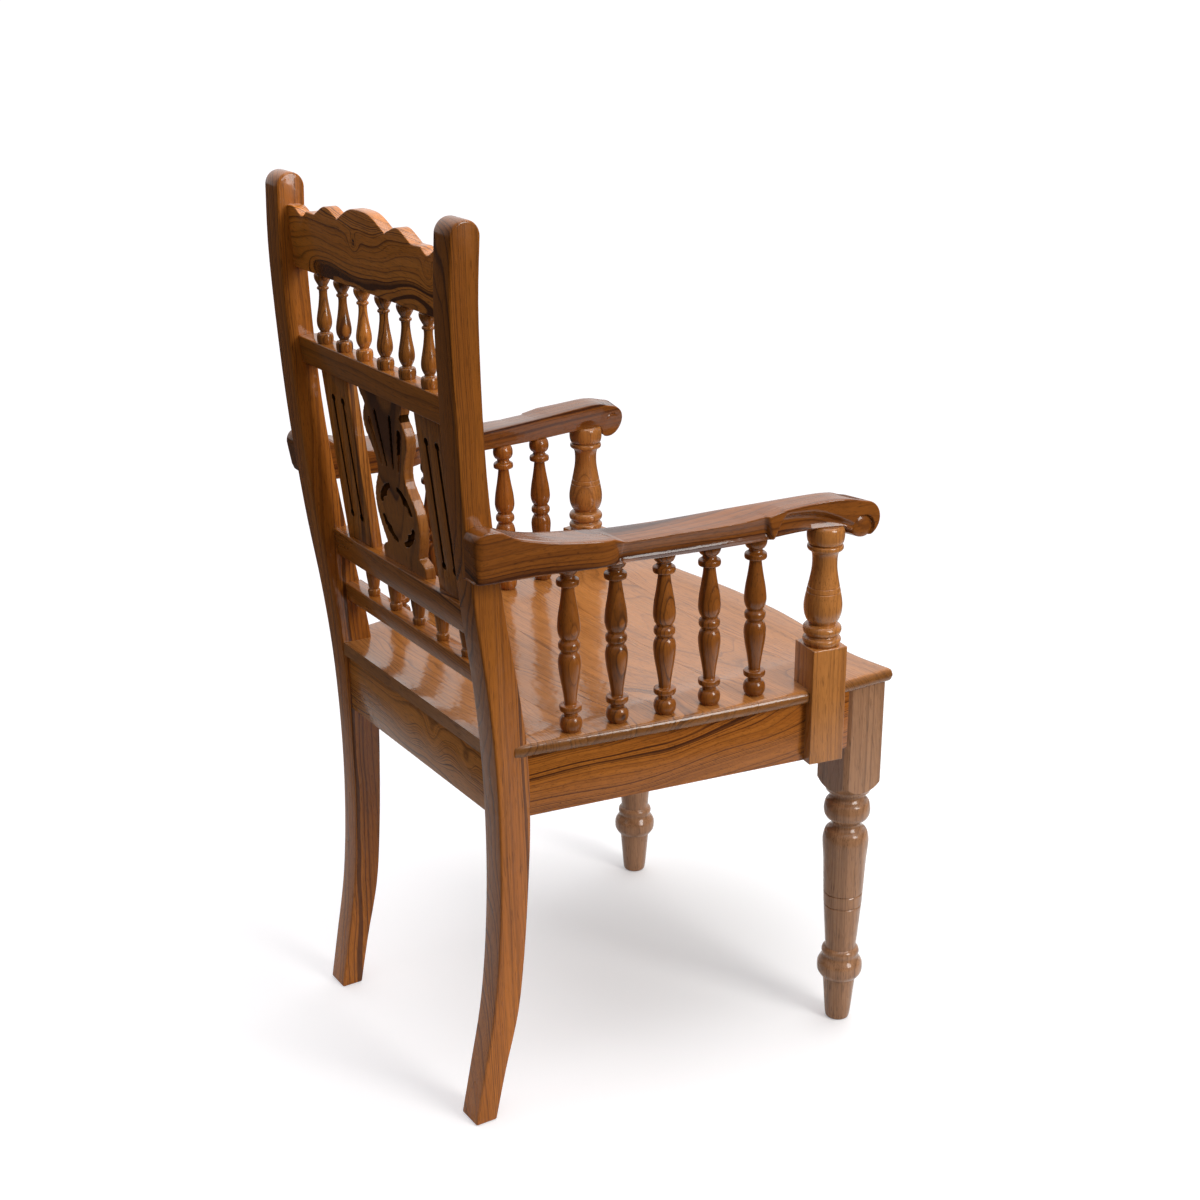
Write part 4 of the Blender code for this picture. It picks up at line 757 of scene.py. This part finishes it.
def spindles(name, rows, places, material, slot_name, nodes, sides=40, lean=0.0):
    """A row of one turning. places are rows of (x, y, foot, head, tone)."""
    line = drawn_line(rows, 5)
    spine = bpy.data.meshes.new("outline")
    spine.from_pydata([(0.0, 0.0, p.y) for p in line], [(i, i + 1) for i in range(len(line) - 1)], [])
    spine.attributes.new("turning", "FLOAT", "POINT").data.foreach_set("value", [p.x for p in line])
    drawn = bpy.data.objects.new("outline", spine)
    stage.collection.objects.link(drawn)
    marks = bpy.data.meshes.new(name)
    marks.from_pydata([(x, y + HEEL, foot) for x, y, foot, head, tone in places], [], [])
    for key, values in (("length", [head - foot for x, y, foot, head, tone in places]),
                        ("tone", [tone for x, y, foot, head, tone in places])):
        marks.attributes.new(key, "FLOAT", "POINT").data.foreach_set("value", values)
    made = bpy.data.objects.new(name, marks)
    stage.collection.objects.link(made)
    step = made.modifiers.new("row", "NODES")
    step.node_group = SPINDLE_TREE
    step[OUTLINE] = drawn
    step[SIDES] = sides
    step[TIMBER] = material
    step[LEAN] = -lean
    settle(made)
    bpy.data.objects.remove(drawn, do_unlink=True)
    sew(made.data)
    shade(made, 35.0)
    fit(made, slot_name, *nodes)


back_spindle_teak = teak(
    "back spindle teak", "Z", (0.44, 0.155, 0.026), (0.25, 0.076, 0.011), (0.06, 0.016, 0.005),
    (0.03, 0.22, 0.0), 0.005, 0.6, seed=5.5, wander=0.01, coat=0.75
)
# row, outline, first place, step, place from front to back, foot, head, tones
for row, turning, first, step, y, foot, head, tones in (
        ("upper", UPPER, -0.127, 0.0508, -0.0054, 0.8555, 0.9347, (0.62, 0.42, 0.45, 0.85, 0.5, 0.42)),
        ("lower", LOWER, -0.116, 0.058, -0.0475, 0.5475, 0.5837, (0.45, 0.6, 0.4, 0.5, 0.55))):
    places = [(first + step * k, y, foot, head, tone) for k, tone in enumerate(tones)]
    spindles(f"{row}_spindles", turning, places, back_spindle_teak, "turned_teak",
             [f"{row}_spindle_{k + 1}" for k in range(len(tones))])

# Seat: five teak boards side to side, glued edge to edge, scooped a little where one sits,
# with a bowed front and a rounded nose on the front and the sides.
SEAT_SIDE = (
    (-0.03, 0.194), (-0.047, 0.1945), (-0.051, 0.2085), (-0.072, 0.213), (-0.152, 0.2285), (-0.27, 0.249),
    (-0.394, 0.2665), (-0.43, 0.268), (-0.464, 0.268), (-0.56, 0.269))
SEAT_FRONT = (
    (0.0, -0.5425), (0.045, -0.5417), (0.09, -0.5378), (0.135, -0.5315), (0.175, -0.527), (0.215, -0.5268),
    (0.27, -0.5345))
SEAT_THICK, NOSE, FRONT_Y, SCOOP = 0.0163, 0.007, -0.535, 0.0085
SCOOP_MIDDLE_Y, SCOOP_HALF_X, SCOOP_HALF_Y = -0.265, 0.185, 0.235
BOARD_REAR, BOARD_WIDTH, BOARD_GAP = -0.03, 0.1038, 0.00015
BOARD_TONES = (0.02, -0.05, 0.06, 0.0, 0.04)
side_line = [tuple(p) for p in through(SEAT_SIDE, 6)]
front_line = [tuple(p) for p in through(SEAT_FRONT, 6)]


def seat_top(x, y):
    edge = max(0.0, 1.0 - (abs(x) / SCOOP_HALF_X) ** 2.6)
    run = max(0.0, 1.0 - (abs(y - SCOOP_MIDDLE_Y) / SCOOP_HALF_Y) ** 3.0)
    return under_seat(y) + SEAT_THICK - SCOOP * edge**0.8 * run**0.6


def seat_point(x, y, upper):
    """The rounded nose: the faces fall away within its radius of an edge, and the corner is round in plan."""
    near_side = max(0.0, NOSE - (read(side_line, y) - abs(x)))
    near_front = max(0.0, NOSE - (y - read(front_line, abs(x))))
    out = max(1.0, math.hypot(near_side, near_front) / NOSE)
    x -= math.copysign(near_side - near_side / out, x)
    y += near_front - near_front / out
    lost = NOSE - math.sqrt(max(0.0, NOSE**2 - (near_side**2 + near_front**2) / out**2))
    return (x, y + HEEL, seat_top(x, y) - lost if upper else under_seat(y) + lost)


def across_at(y):
    """Where the mesh lines of a board cross it, close together over the rounded sides."""
    wide = read(side_line, y)
    flat = [(wide - NOSE) * i / 32 for i in range(-31, 32)]
    return [step - wide for step in nose_steps] + flat + [wide - step for step in reversed(nose_steps)]


seat_teak = [teak(f"seat board {k + 1} teak", "X", (0.47, 0.185, 0.046), (0.31, 0.108, 0.023),
                  (0.085, 0.026, 0.008), (0.3 * k, -0.42 + 0.11 * k, 0.4 - 0.05 * (k % 2)), 0.0075, 0.55,
                  seed=1.0 + 3.7 * k, wander=0.06, shine=0.2, tone=BOARD_TONES[k], swirl=0.04, coat=0.65,
                  ends=0.6)
             for k in range(5)]
ends = [BOARD_REAR - BOARD_WIDTH * k for k in range(6)]
nose_steps = [NOSE * (1.0 - math.cos(math.pi / 2 * k / 6)) for k in range(7)]
for k in range(5):
    rear = ends[k] - (BOARD_GAP if k else 0.0)
    lines = []
    if k < 4:
        for j in range(15):
            y = rear + (ends[k + 1] + BOARD_GAP - rear) * j / 14
            lines.append([(x, y) for x in across_at(y)])
    else:
        for j in range(9):
            xs = across_at(rear + (FRONT_Y - rear) * j / 9)
            lines.append([(x, rear + (read(front_line, abs(x)) + NOSE - rear) * j / 9) for x in xs])
        for step in reversed(nose_steps):
            lines.append([(x, read(front_line, abs(x)) + step) for x in across_at(FRONT_Y)])
    points = [seat_point(x, y, upper) for upper in (1, 0) for line in lines for x, y in line]
    deep, wide_count = len(lines), len(lines[0])
    layer = deep * wide_count
    faces = []
    for j in range(deep - 1):
        for i in range(wide_count - 1):
            a = j * wide_count + i
            faces.append((a, a + 1, a + wide_count + 1, a + wide_count))
            faces.append((layer + a, layer + a + wide_count, layer + a + wide_count + 1, layer + a + 1))
    rim = list(range(wide_count - 1)) + [wide_count - 1 + j * wide_count for j in range(deep - 1)]
    rim += [layer - 1 - i for i in range(wide_count - 1)]
    rim += [(deep - 1 - j) * wide_count for j in range(deep - 1)]
    for n, a in enumerate(rim):
        b = rim[(n + 1) % len(rim)]
        faces.append((a, b, layer + b, layer + a))
    board = mesh_of(f"seat_board_{k + 1}_scooped", points, faces, seat_teak[k])
    shade(board, 50.0)
    fit(board, "seat_teak", f"seat_board_{k + 1}")

# Arm posts: a square base lapped over the side rail, with lamb's-tongue shoulders, turned above into rings,
# a vase with two fine cut lines, a neck and a cushion under the arm.
POST = (
    (0.0185, 0.6695, 1), (0.0206, 0.6668), (0.0215, 0.661), (0.0213, 0.6545), (0.02, 0.6495),
    (0.0178, 0.648, 1), (0.0178, 0.6472, 1), (0.02, 0.6463), (0.0207, 0.6437), (0.0198, 0.6412),
    (0.0171, 0.64, 1), (0.0152, 0.6365), (0.0143, 0.6295), (0.0146, 0.618), (0.0166, 0.6055),
    (0.018, 0.5985), (0.0182, 0.5976, 1), (0.0177, 0.597, 1), (0.0184, 0.5964, 1), (0.0193, 0.5925),
    (0.0195, 0.5915, 1), (0.019, 0.5909, 1), (0.0197, 0.5903, 1), (0.0214, 0.581), (0.0221, 0.5735),
    (0.0214, 0.565), (0.019, 0.558), (0.0166, 0.5545), (0.016, 0.5525, 1), (0.0196, 0.5508),
    (0.0218, 0.548), (0.0222, 0.5445), (0.021, 0.5412), (0.0188, 0.5398, 1), (0.0182, 0.5385),
    (0.019, 0.5372, 1), (0.0215, 0.5352), (0.0222, 0.5325), (0.0212, 0.5295), (0.0195, 0.527, 1),
    (0.0195, 0.52, 1))
POST_X, POST_Y, POST_HALF, POST_TURN = 0.2543, -0.4322, 0.022, math.radians(9.4)
POST_FOOT, POST_SHOULDER = 0.386, 0.527
post_teak = teak(
    "turned arm post teak", "Z", (0.52, 0.205, 0.05), (0.34, 0.118, 0.025), (0.08, 0.024, 0.008),
    (0.02, 0.0, 0.0), 0.007, 0.45, seed=2.0, wander=0.014, coat=0.7
)
for side, label in HALVES:
    x, y = side * POST_X, POST_Y + HEEL
    post = lathe(f"arm_post_{label}_turning", POST, (x, y), post_teak, 56)
    spin = Matrix.Rotation(side * POST_TURN, 2)
    corners = [spin @ Vector((POST_HALF * i, POST_HALF * j)) for i, j in ((1, -1), (1, 1), (-1, 1), (-1, -1))]
    base = sawn("base", [tuple(c) for c in corners], POST_FOOT, POST_SHOULDER,
                lambda u, v, w, x=x, y=y: (x + u, y + v, w), post_teak)
    soften(base, 0.0013, 3)
    clip(post, base, "UNION")
    toned(post, 0.52)
    shade(post, 33.0)
    fit(post, "turned_teak", f"arm_post_{label}")

# Arm spindles: five a side between the seat and the arm, the same turning above and below a middle bead,
# with a ring and a ball at each end. All lean back a little.
ARM_SPINDLES = ((0.2048, -0.1254), (0.2123, -0.181), (0.2218, -0.238), (0.2282, -0.294), (0.2352, -0.352))
ARM_SPINDLE_TONES = {"left": (0.5, 0.45, 0.5, 0.55, 0.4), "right": (0.48, 0.4, 0.58, 0.52, 0.36)}
SPINDLE_LEAN = 0.0195
HALF_TURNING = (
    (0.0121, 0.0), (0.0117, 0.03), (0.0093, 0.062, 1), (0.0092, 0.078, 1), (0.011, 0.105), (0.0125, 0.16),
    (0.0128, 0.22), (0.0116, 0.34), (0.0094, 0.47), (0.0075, 0.6), (0.0069, 0.668), (0.0074, 0.684, 1),
    (0.0116, 0.69), (0.0126, 0.705), (0.0127, 0.73), (0.0122, 0.752), (0.011, 0.762, 1), (0.0086, 0.775),
    (0.0078, 0.795), (0.0082, 0.815, 1), (0.0106, 0.83), (0.0124, 0.868), (0.0128, 0.912), (0.0119, 0.96),
    (0.0097, 1.0, 1))
ARM_UNDER = (
    (-0.455, 0.6625), (-0.448, 0.668), (-0.435, 0.6692), (-0.39, 0.6694), (-0.34, 0.6692), (-0.3, 0.6698),
    (-0.24, 0.6705), (-0.165, 0.6722), (-0.13, 0.6725), (-0.07, 0.6738), (0.002, 0.6753), (0.006, 0.6775))
spindle_rows = [(r, 0.5 + 0.5 * share, *corner) for r, share, *corner in reversed(HALF_TURNING)]
spindle_rows += [(r, 0.5 - 0.5 * share, *corner) for r, share, *corner in HALF_TURNING[1:]]
arm_spindle_teak = teak(
    "arm spindle teak", "Z", (0.38, 0.122, 0.019), (0.21, 0.06, 0.008), (0.045, 0.013, 0.005),
    (0.3, 0.05, 0.0), 0.0055, 0.6, seed=4.0, wander=0.012, coat=0.65
)
for side, label in HALVES:
    places = []
    for (x, y), tone in zip(ARM_SPINDLES, ARM_SPINDLE_TONES[label]):
        foot = seat_top(x, y) - 0.0002
        top_y = y + SPINDLE_LEAN * 0.205
        head = max(read(ARM_UNDER, top_y - 0.01), read(ARM_UNDER, top_y + 0.01)) + 0.0006
        places.append((side * x, y, foot, head, tone))
    spindles(f"arm_spindles_{label}", spindle_rows, places, arm_spindle_teak, "turned_teak",
             [f"arm_spindle_{label}_{k}" for k in range(1, 6)], 44, SPINDLE_LEAN)

# Arms: sawn to a side outline and then to a plan, lapped over the outside of the rear legs. The outer face
# is carved: a tall block with a rounded end, a cove that runs to a leaf, a bowl over the post, and a volute
# round a domed eye on each face of the rolled front end.
ARM_TOP = (
    (0.0078, 0.715), (0.007, 0.7205), (0.003, 0.7262), (-0.0045, 0.7288), (-0.013, 0.7288),
    (-0.022, 0.7262), (-0.033, 0.7195), (-0.047, 0.713), (-0.07, 0.7062), (-0.095, 0.7015), (-0.13, 0.6976),
    (-0.165, 0.6958), (-0.24, 0.6962), (-0.3, 0.6978), (-0.35, 0.6993), (-0.4, 0.7013), (-0.435, 0.7018),
    (-0.456, 0.6992))
# middle and radius of the rolled end
SCROLL = (-0.4705, 0.6745, 0.0213)
INNER_PLAN = (
    (0.01, 0.188), (-0.124, 0.189), (-0.165, 0.1975), (-0.2, 0.2035), (-0.24, 0.2092), (-0.3, 0.2163),
    (-0.35, 0.223), (-0.4, 0.2312), (-0.44, 0.237), (-0.495, 0.241))
OUTER_PLAN = (
    (0.008, 0.2335), (0.0072, 0.237), (0.0045, 0.2402), (0.0, 0.242), (-0.01, 0.2428), (-0.08, 0.247),
    (-0.155, 0.256), (-0.168, 0.256), (-0.23, 0.261), (-0.3, 0.2665), (-0.35, 0.2675), (-0.39, 0.268),
    (-0.42, 0.2705), (-0.45, 0.275), (-0.495, 0.277))
ARM_INNER, ARM_OUTER = (sorted(tuple(p) for p in through(plan, 4)) for plan in (INNER_PLAN, OUTER_PLAN))
# how much higher the outer face lies than the inner one
LIFT = (
    (0.006, 0.0), (-0.0136, 0.0008), (-0.06, 0.004), (-0.13, 0.0048), (-0.152, 0.0044), (-0.164, 0.0),
    (-0.23, -0.0005), (-0.306, -0.0035), (-0.34, -0.0025), (-0.365, 0.001), (-0.45, 0.001), (-0.47, 0.0))
# share of the height, depth
COVE = (
    (-0.2, 0.002), (0.0, 0.0028), (0.06, 0.0052), (0.13, 0.007), (0.25, 0.008), (0.38, 0.008),
    (0.6, 0.0068), (0.85, 0.0046), (1.0, 0.0036), (1.2, 0.0036))
# where the block's rounded end starts and stops, and its depth
BLOCK_END = (-0.128, -0.16, 0.0105)
# ends of the leaf at the lower and the upper edge
LEAF_REAR = (-0.347, -0.3394)
LEAF_FRONT = (-0.348, -0.365)
# distance along, height of the deepest line, height of the upper border, depth
BOWL = (
    (-0.35, 0.685, 0.698, 0.0085), (-0.37, 0.6862, 0.698, 0.0098), (-0.385, 0.6852, 0.6973, 0.01),
    (-0.4055, 0.6825, 0.696, 0.0098), (-0.42, 0.68, 0.6915, 0.009), (-0.433, 0.677, 0.6852, 0.0078),
    (-0.454, 0.669, 0.6742, 0.0042), (-0.46, 0.666, 0.669, 0.0))
# middle, radius and depth of the volute on each face
EYE, INNER_EYE = (-0.4692, 0.6655, 0.0136, 0.0048), (-0.466, 0.6745, 0.0105, 0.0026)
EDGE_RADIUS, NET_STEP = 0.0016, 0.0013
# the left arm's rear end is rounder below and shorter
LEFT_END, LEFT_SHORTER = [(-0.006, 0.6755), (-0.0005, 0.68), (0.0025, 0.687)], 0.007


def blend(start, end, value):
    """0 before start, 1 after end, and smooth between."""
    share = min(1.0, max(0.0, (value - start) / (end - start)))
    return share * share * (3.0 - 2.0 * share)


def volute(y, z, middle_y, middle_z, radius, deep):
    """A domed eye in a round sinking: how deep it lies at this place."""
    away = math.hypot(y - middle_y, z - middle_z) / radius
    dome = deep * (1.0 - 0.8 * math.sqrt(max(0.0, 1.0 - min(1.0, away) ** 2)))
    return dome * (1.0 - blend(1.0, 1.09, away))


def outer_depth(y, z):
    """How far the outer face is cut back at this place."""
    low, high = read(ARM_UNDER, y), read(ARM_TOP, y)
    share = (z - low) / (high - low)
    inside = min(1.0, max(0.0, share))
    turn, end, most = BLOCK_END
    around = min(1.0, max(0.0, (turn - y) / (turn - end)))
    rounded = most * (1.0 - math.sqrt(1.0 - around * around))
    rear = LEAF_REAR[0] + (LEAF_REAR[1] - LEAF_REAR[0]) * inside
    front = LEAF_FRONT[0] + (LEAF_FRONT[1] - LEAF_FRONT[0]) * inside
    depth = min(rounded, read(COVE, share)) * blend(rear - 0.0025, rear + 0.0025, y)
    deepest, border, most = (read([(row[0], row[k]) for row in BOWL], y) for k in (1, 2, 3))
    if z < deepest:
        bowl = blend(-1.5, 1.0, (z - low) / (deepest - low))
    else:
        bowl = 1.0 - blend(0.0, 1.0, (z - deepest) / (border - deepest))
    depth += most * bowl * blend(0.0, 0.008, front - y)
    return max(depth, volute(y, z, *EYE))


def inner_depth(y, z):
    """The inner face leans in towards the bottom, with a small hollow behind its own volute."""
    share = (z - read(ARM_UNDER, y)) / 0.03
    hollow = math.hypot((y + 0.425) / 0.024, (z - 0.6735) / 0.0085)
    lean = 0.0055 * (1.0 - blend(-0.1, 1.0, share)) * blend(0.135, 0.17, -y)
    return max(lean + 0.0035 * (1.0 - blend(0.0, 1.0, hollow)), volute(y, z, *INNER_EYE))


def even(line, step):
    """A closed line with its points about one step apart."""
    closed = [Vector(p) for p in line] + [Vector(line[0])]
    lengths = [(q - p).length for p, q in zip(closed, closed[1:])]
    count = round(sum(lengths) / step)
    points, at, run = [], 0, 0.0
    for k in range(count):
        goal = sum(lengths) * k / count
        while run + lengths[at] < goal:
            run += lengths[at]
            at += 1
        points.append(closed[at].lerp(closed[at + 1], (goal - run) / lengths[at]))
    return points


def arm_point(y, z, share, sunk=0.0):
    """A point of the arm, from its place on the side view and its share of the way from inner to outer face."""
    inner, outer = 1.0 - share, share
    y += 0.008 * inner * blend(0.445, 0.47, -y)
    low, high = read(ARM_UNDER, y), read(ARM_TOP, y)
    z += read(LIFT, y) * outer * min(1.0, max(0.0, (z - low) / (high - low)))
    return y, z, (inner * (read(ARM_INNER, y) + inner_depth(y, z) + sunk)
                  + outer * (read(ARM_OUTER, y) - outer_depth(y, z) - sunk))


def carved_arm(name, side, outline, radius, step, material):
    """The side outline filled with an even net on each face, sunk where the gouge has been, with round edges
    and a plain band between the faces."""
    edge = even(outline, step)
    count = len(edge)
    inwards = [(edge[(k + 1) % count] - edge[k - 1]).normalized() for k in range(count)]
    flat, sunk = [], []
    for turn in range(5):
        angle = math.pi / 2 * turn / 4
        for point, way in zip(edge, inwards):
            flat.append(point + radius * (1.0 - math.cos(angle)) * Vector((-way.y, way.x)))
            sunk.append(radius * (1.0 - math.sin(angle)))
    close = kdtree.KDTree(count)
    for k, point in enumerate(edge):
        close.insert((*point, 0.0), k)
    close.balance()
    rows = [[min(p[i] for p in edge), max(p[i] for p in edge)] for i in (0, 1)]
    for i in range(int((rows[0][1] - rows[0][0]) / step)):
        for j in range(int((rows[1][1] - rows[1][0]) / step)):
            spot = Vector((rows[0][0] + (i + 0.5 * (j % 2)) * step, rows[1][0] + j * step * 0.9))
            if close.find((*spot, 0.0))[2] > radius + 0.5 * step:
                flat.append(spot)
                sunk.append(0.0)
    rim = [(k, (k + 1) % count) for k in range(count)]
    net = geometry.delaunay_2d_cdt(flat, rim, [], 1, 1e-9)
    spots, triangles, sources = net[0], net[2], net[3]
    depths = [sunk[source[0]] if source else 0.0 for source in sources]
    place = {source[0]: k for k, source in enumerate(sources) if source}
    points, faces = [], []
    for share in (1.0, 0.0):
        start = len(points)
        points += [arm_point(spot.x, spot.y, share, depth) for spot, depth in zip(spots, depths)]
        faces += [tuple(start + k for k in triangle) for triangle in triangles]
    strips = 6
    rings = [[place[k] for k in range(count)]]
    for strip in range(1, strips):
        start = len(points)
        share = 1.0 - strip / strips
        for k in range(count):
            first, last = points[place[k]], points[len(spots) + place[k]]
            y, z, _ = arm_point(edge[k].x, edge[k].y, share)
            points.append((y, z, first[2] * share + last[2] * (1.0 - share)))
        rings.append(list(range(start, start + count)))
    rings.append([len(spots) + place[k] for k in range(count)])
    for near, far in zip(rings, rings[1:]):
        faces += [(near[k], near[(k + 1) % count], far[(k + 1) % count], far[k]) for k in range(count)]
    return mesh_of(name, [(side * x, y + HEEL, z) for y, z, x in points], faces, material)


arm_teak = {1: teak("left arm teak", "Y", (0.26, 0.082, 0.011), (0.14, 0.038, 0.005), DARK,
                    (0.2, 0.0, 0.62), 0.0055, 0.7, seed=3.3, wander=0.02, swirl=0.012, coat=0.5),
            -1: teak("right arm teak", "Y", (0.29, 0.09, 0.012), (0.155, 0.042, 0.0055), DARK,
                     (-0.2, 0.0, 0.62), 0.0055, 0.8, seed=6.6, wander=0.02, swirl=0.012, coat=0.5)}
for side, label in HALVES:
    top = [tuple(p) for p in through(ARM_TOP, 4)]
    arc = [(SCROLL[0] + SCROLL[2] * math.cos(a), SCROLL[1] + SCROLL[2] * math.sin(a))
           for a in (math.radians(degrees) for degrees in range(104, 315, 7))]
    under = [tuple(p) for p in through(ARM_UNDER, 4)]
    if label == "left":
        under = [p for p in under if p[0] < -0.014] + LEFT_END
        top, arc, under = ([(y - LEFT_SHORTER * blend(-0.06, -0.01, y), z) for y, z in line]
                           for line in (top, arc, under))
    arm = carved_arm(f"arm_{label}_carved", side, top + arc + under, EDGE_RADIUS, NET_STEP, arm_teak[side])
    lap = [(y - depth + 0.001, z) for z, y, depth in LEG_SIDE if 0.5 < z < 0.8]
    lap += [(0.05, 0.79), (0.05, 0.53)]
    clip(arm, sawn("space", lap, -0.0004, 0.06, partial(leg_axes, side=side)), "DIFFERENCE")
    shade(arm, 42.0)
    fit(arm, "carved_teak", f"arm_{label}")
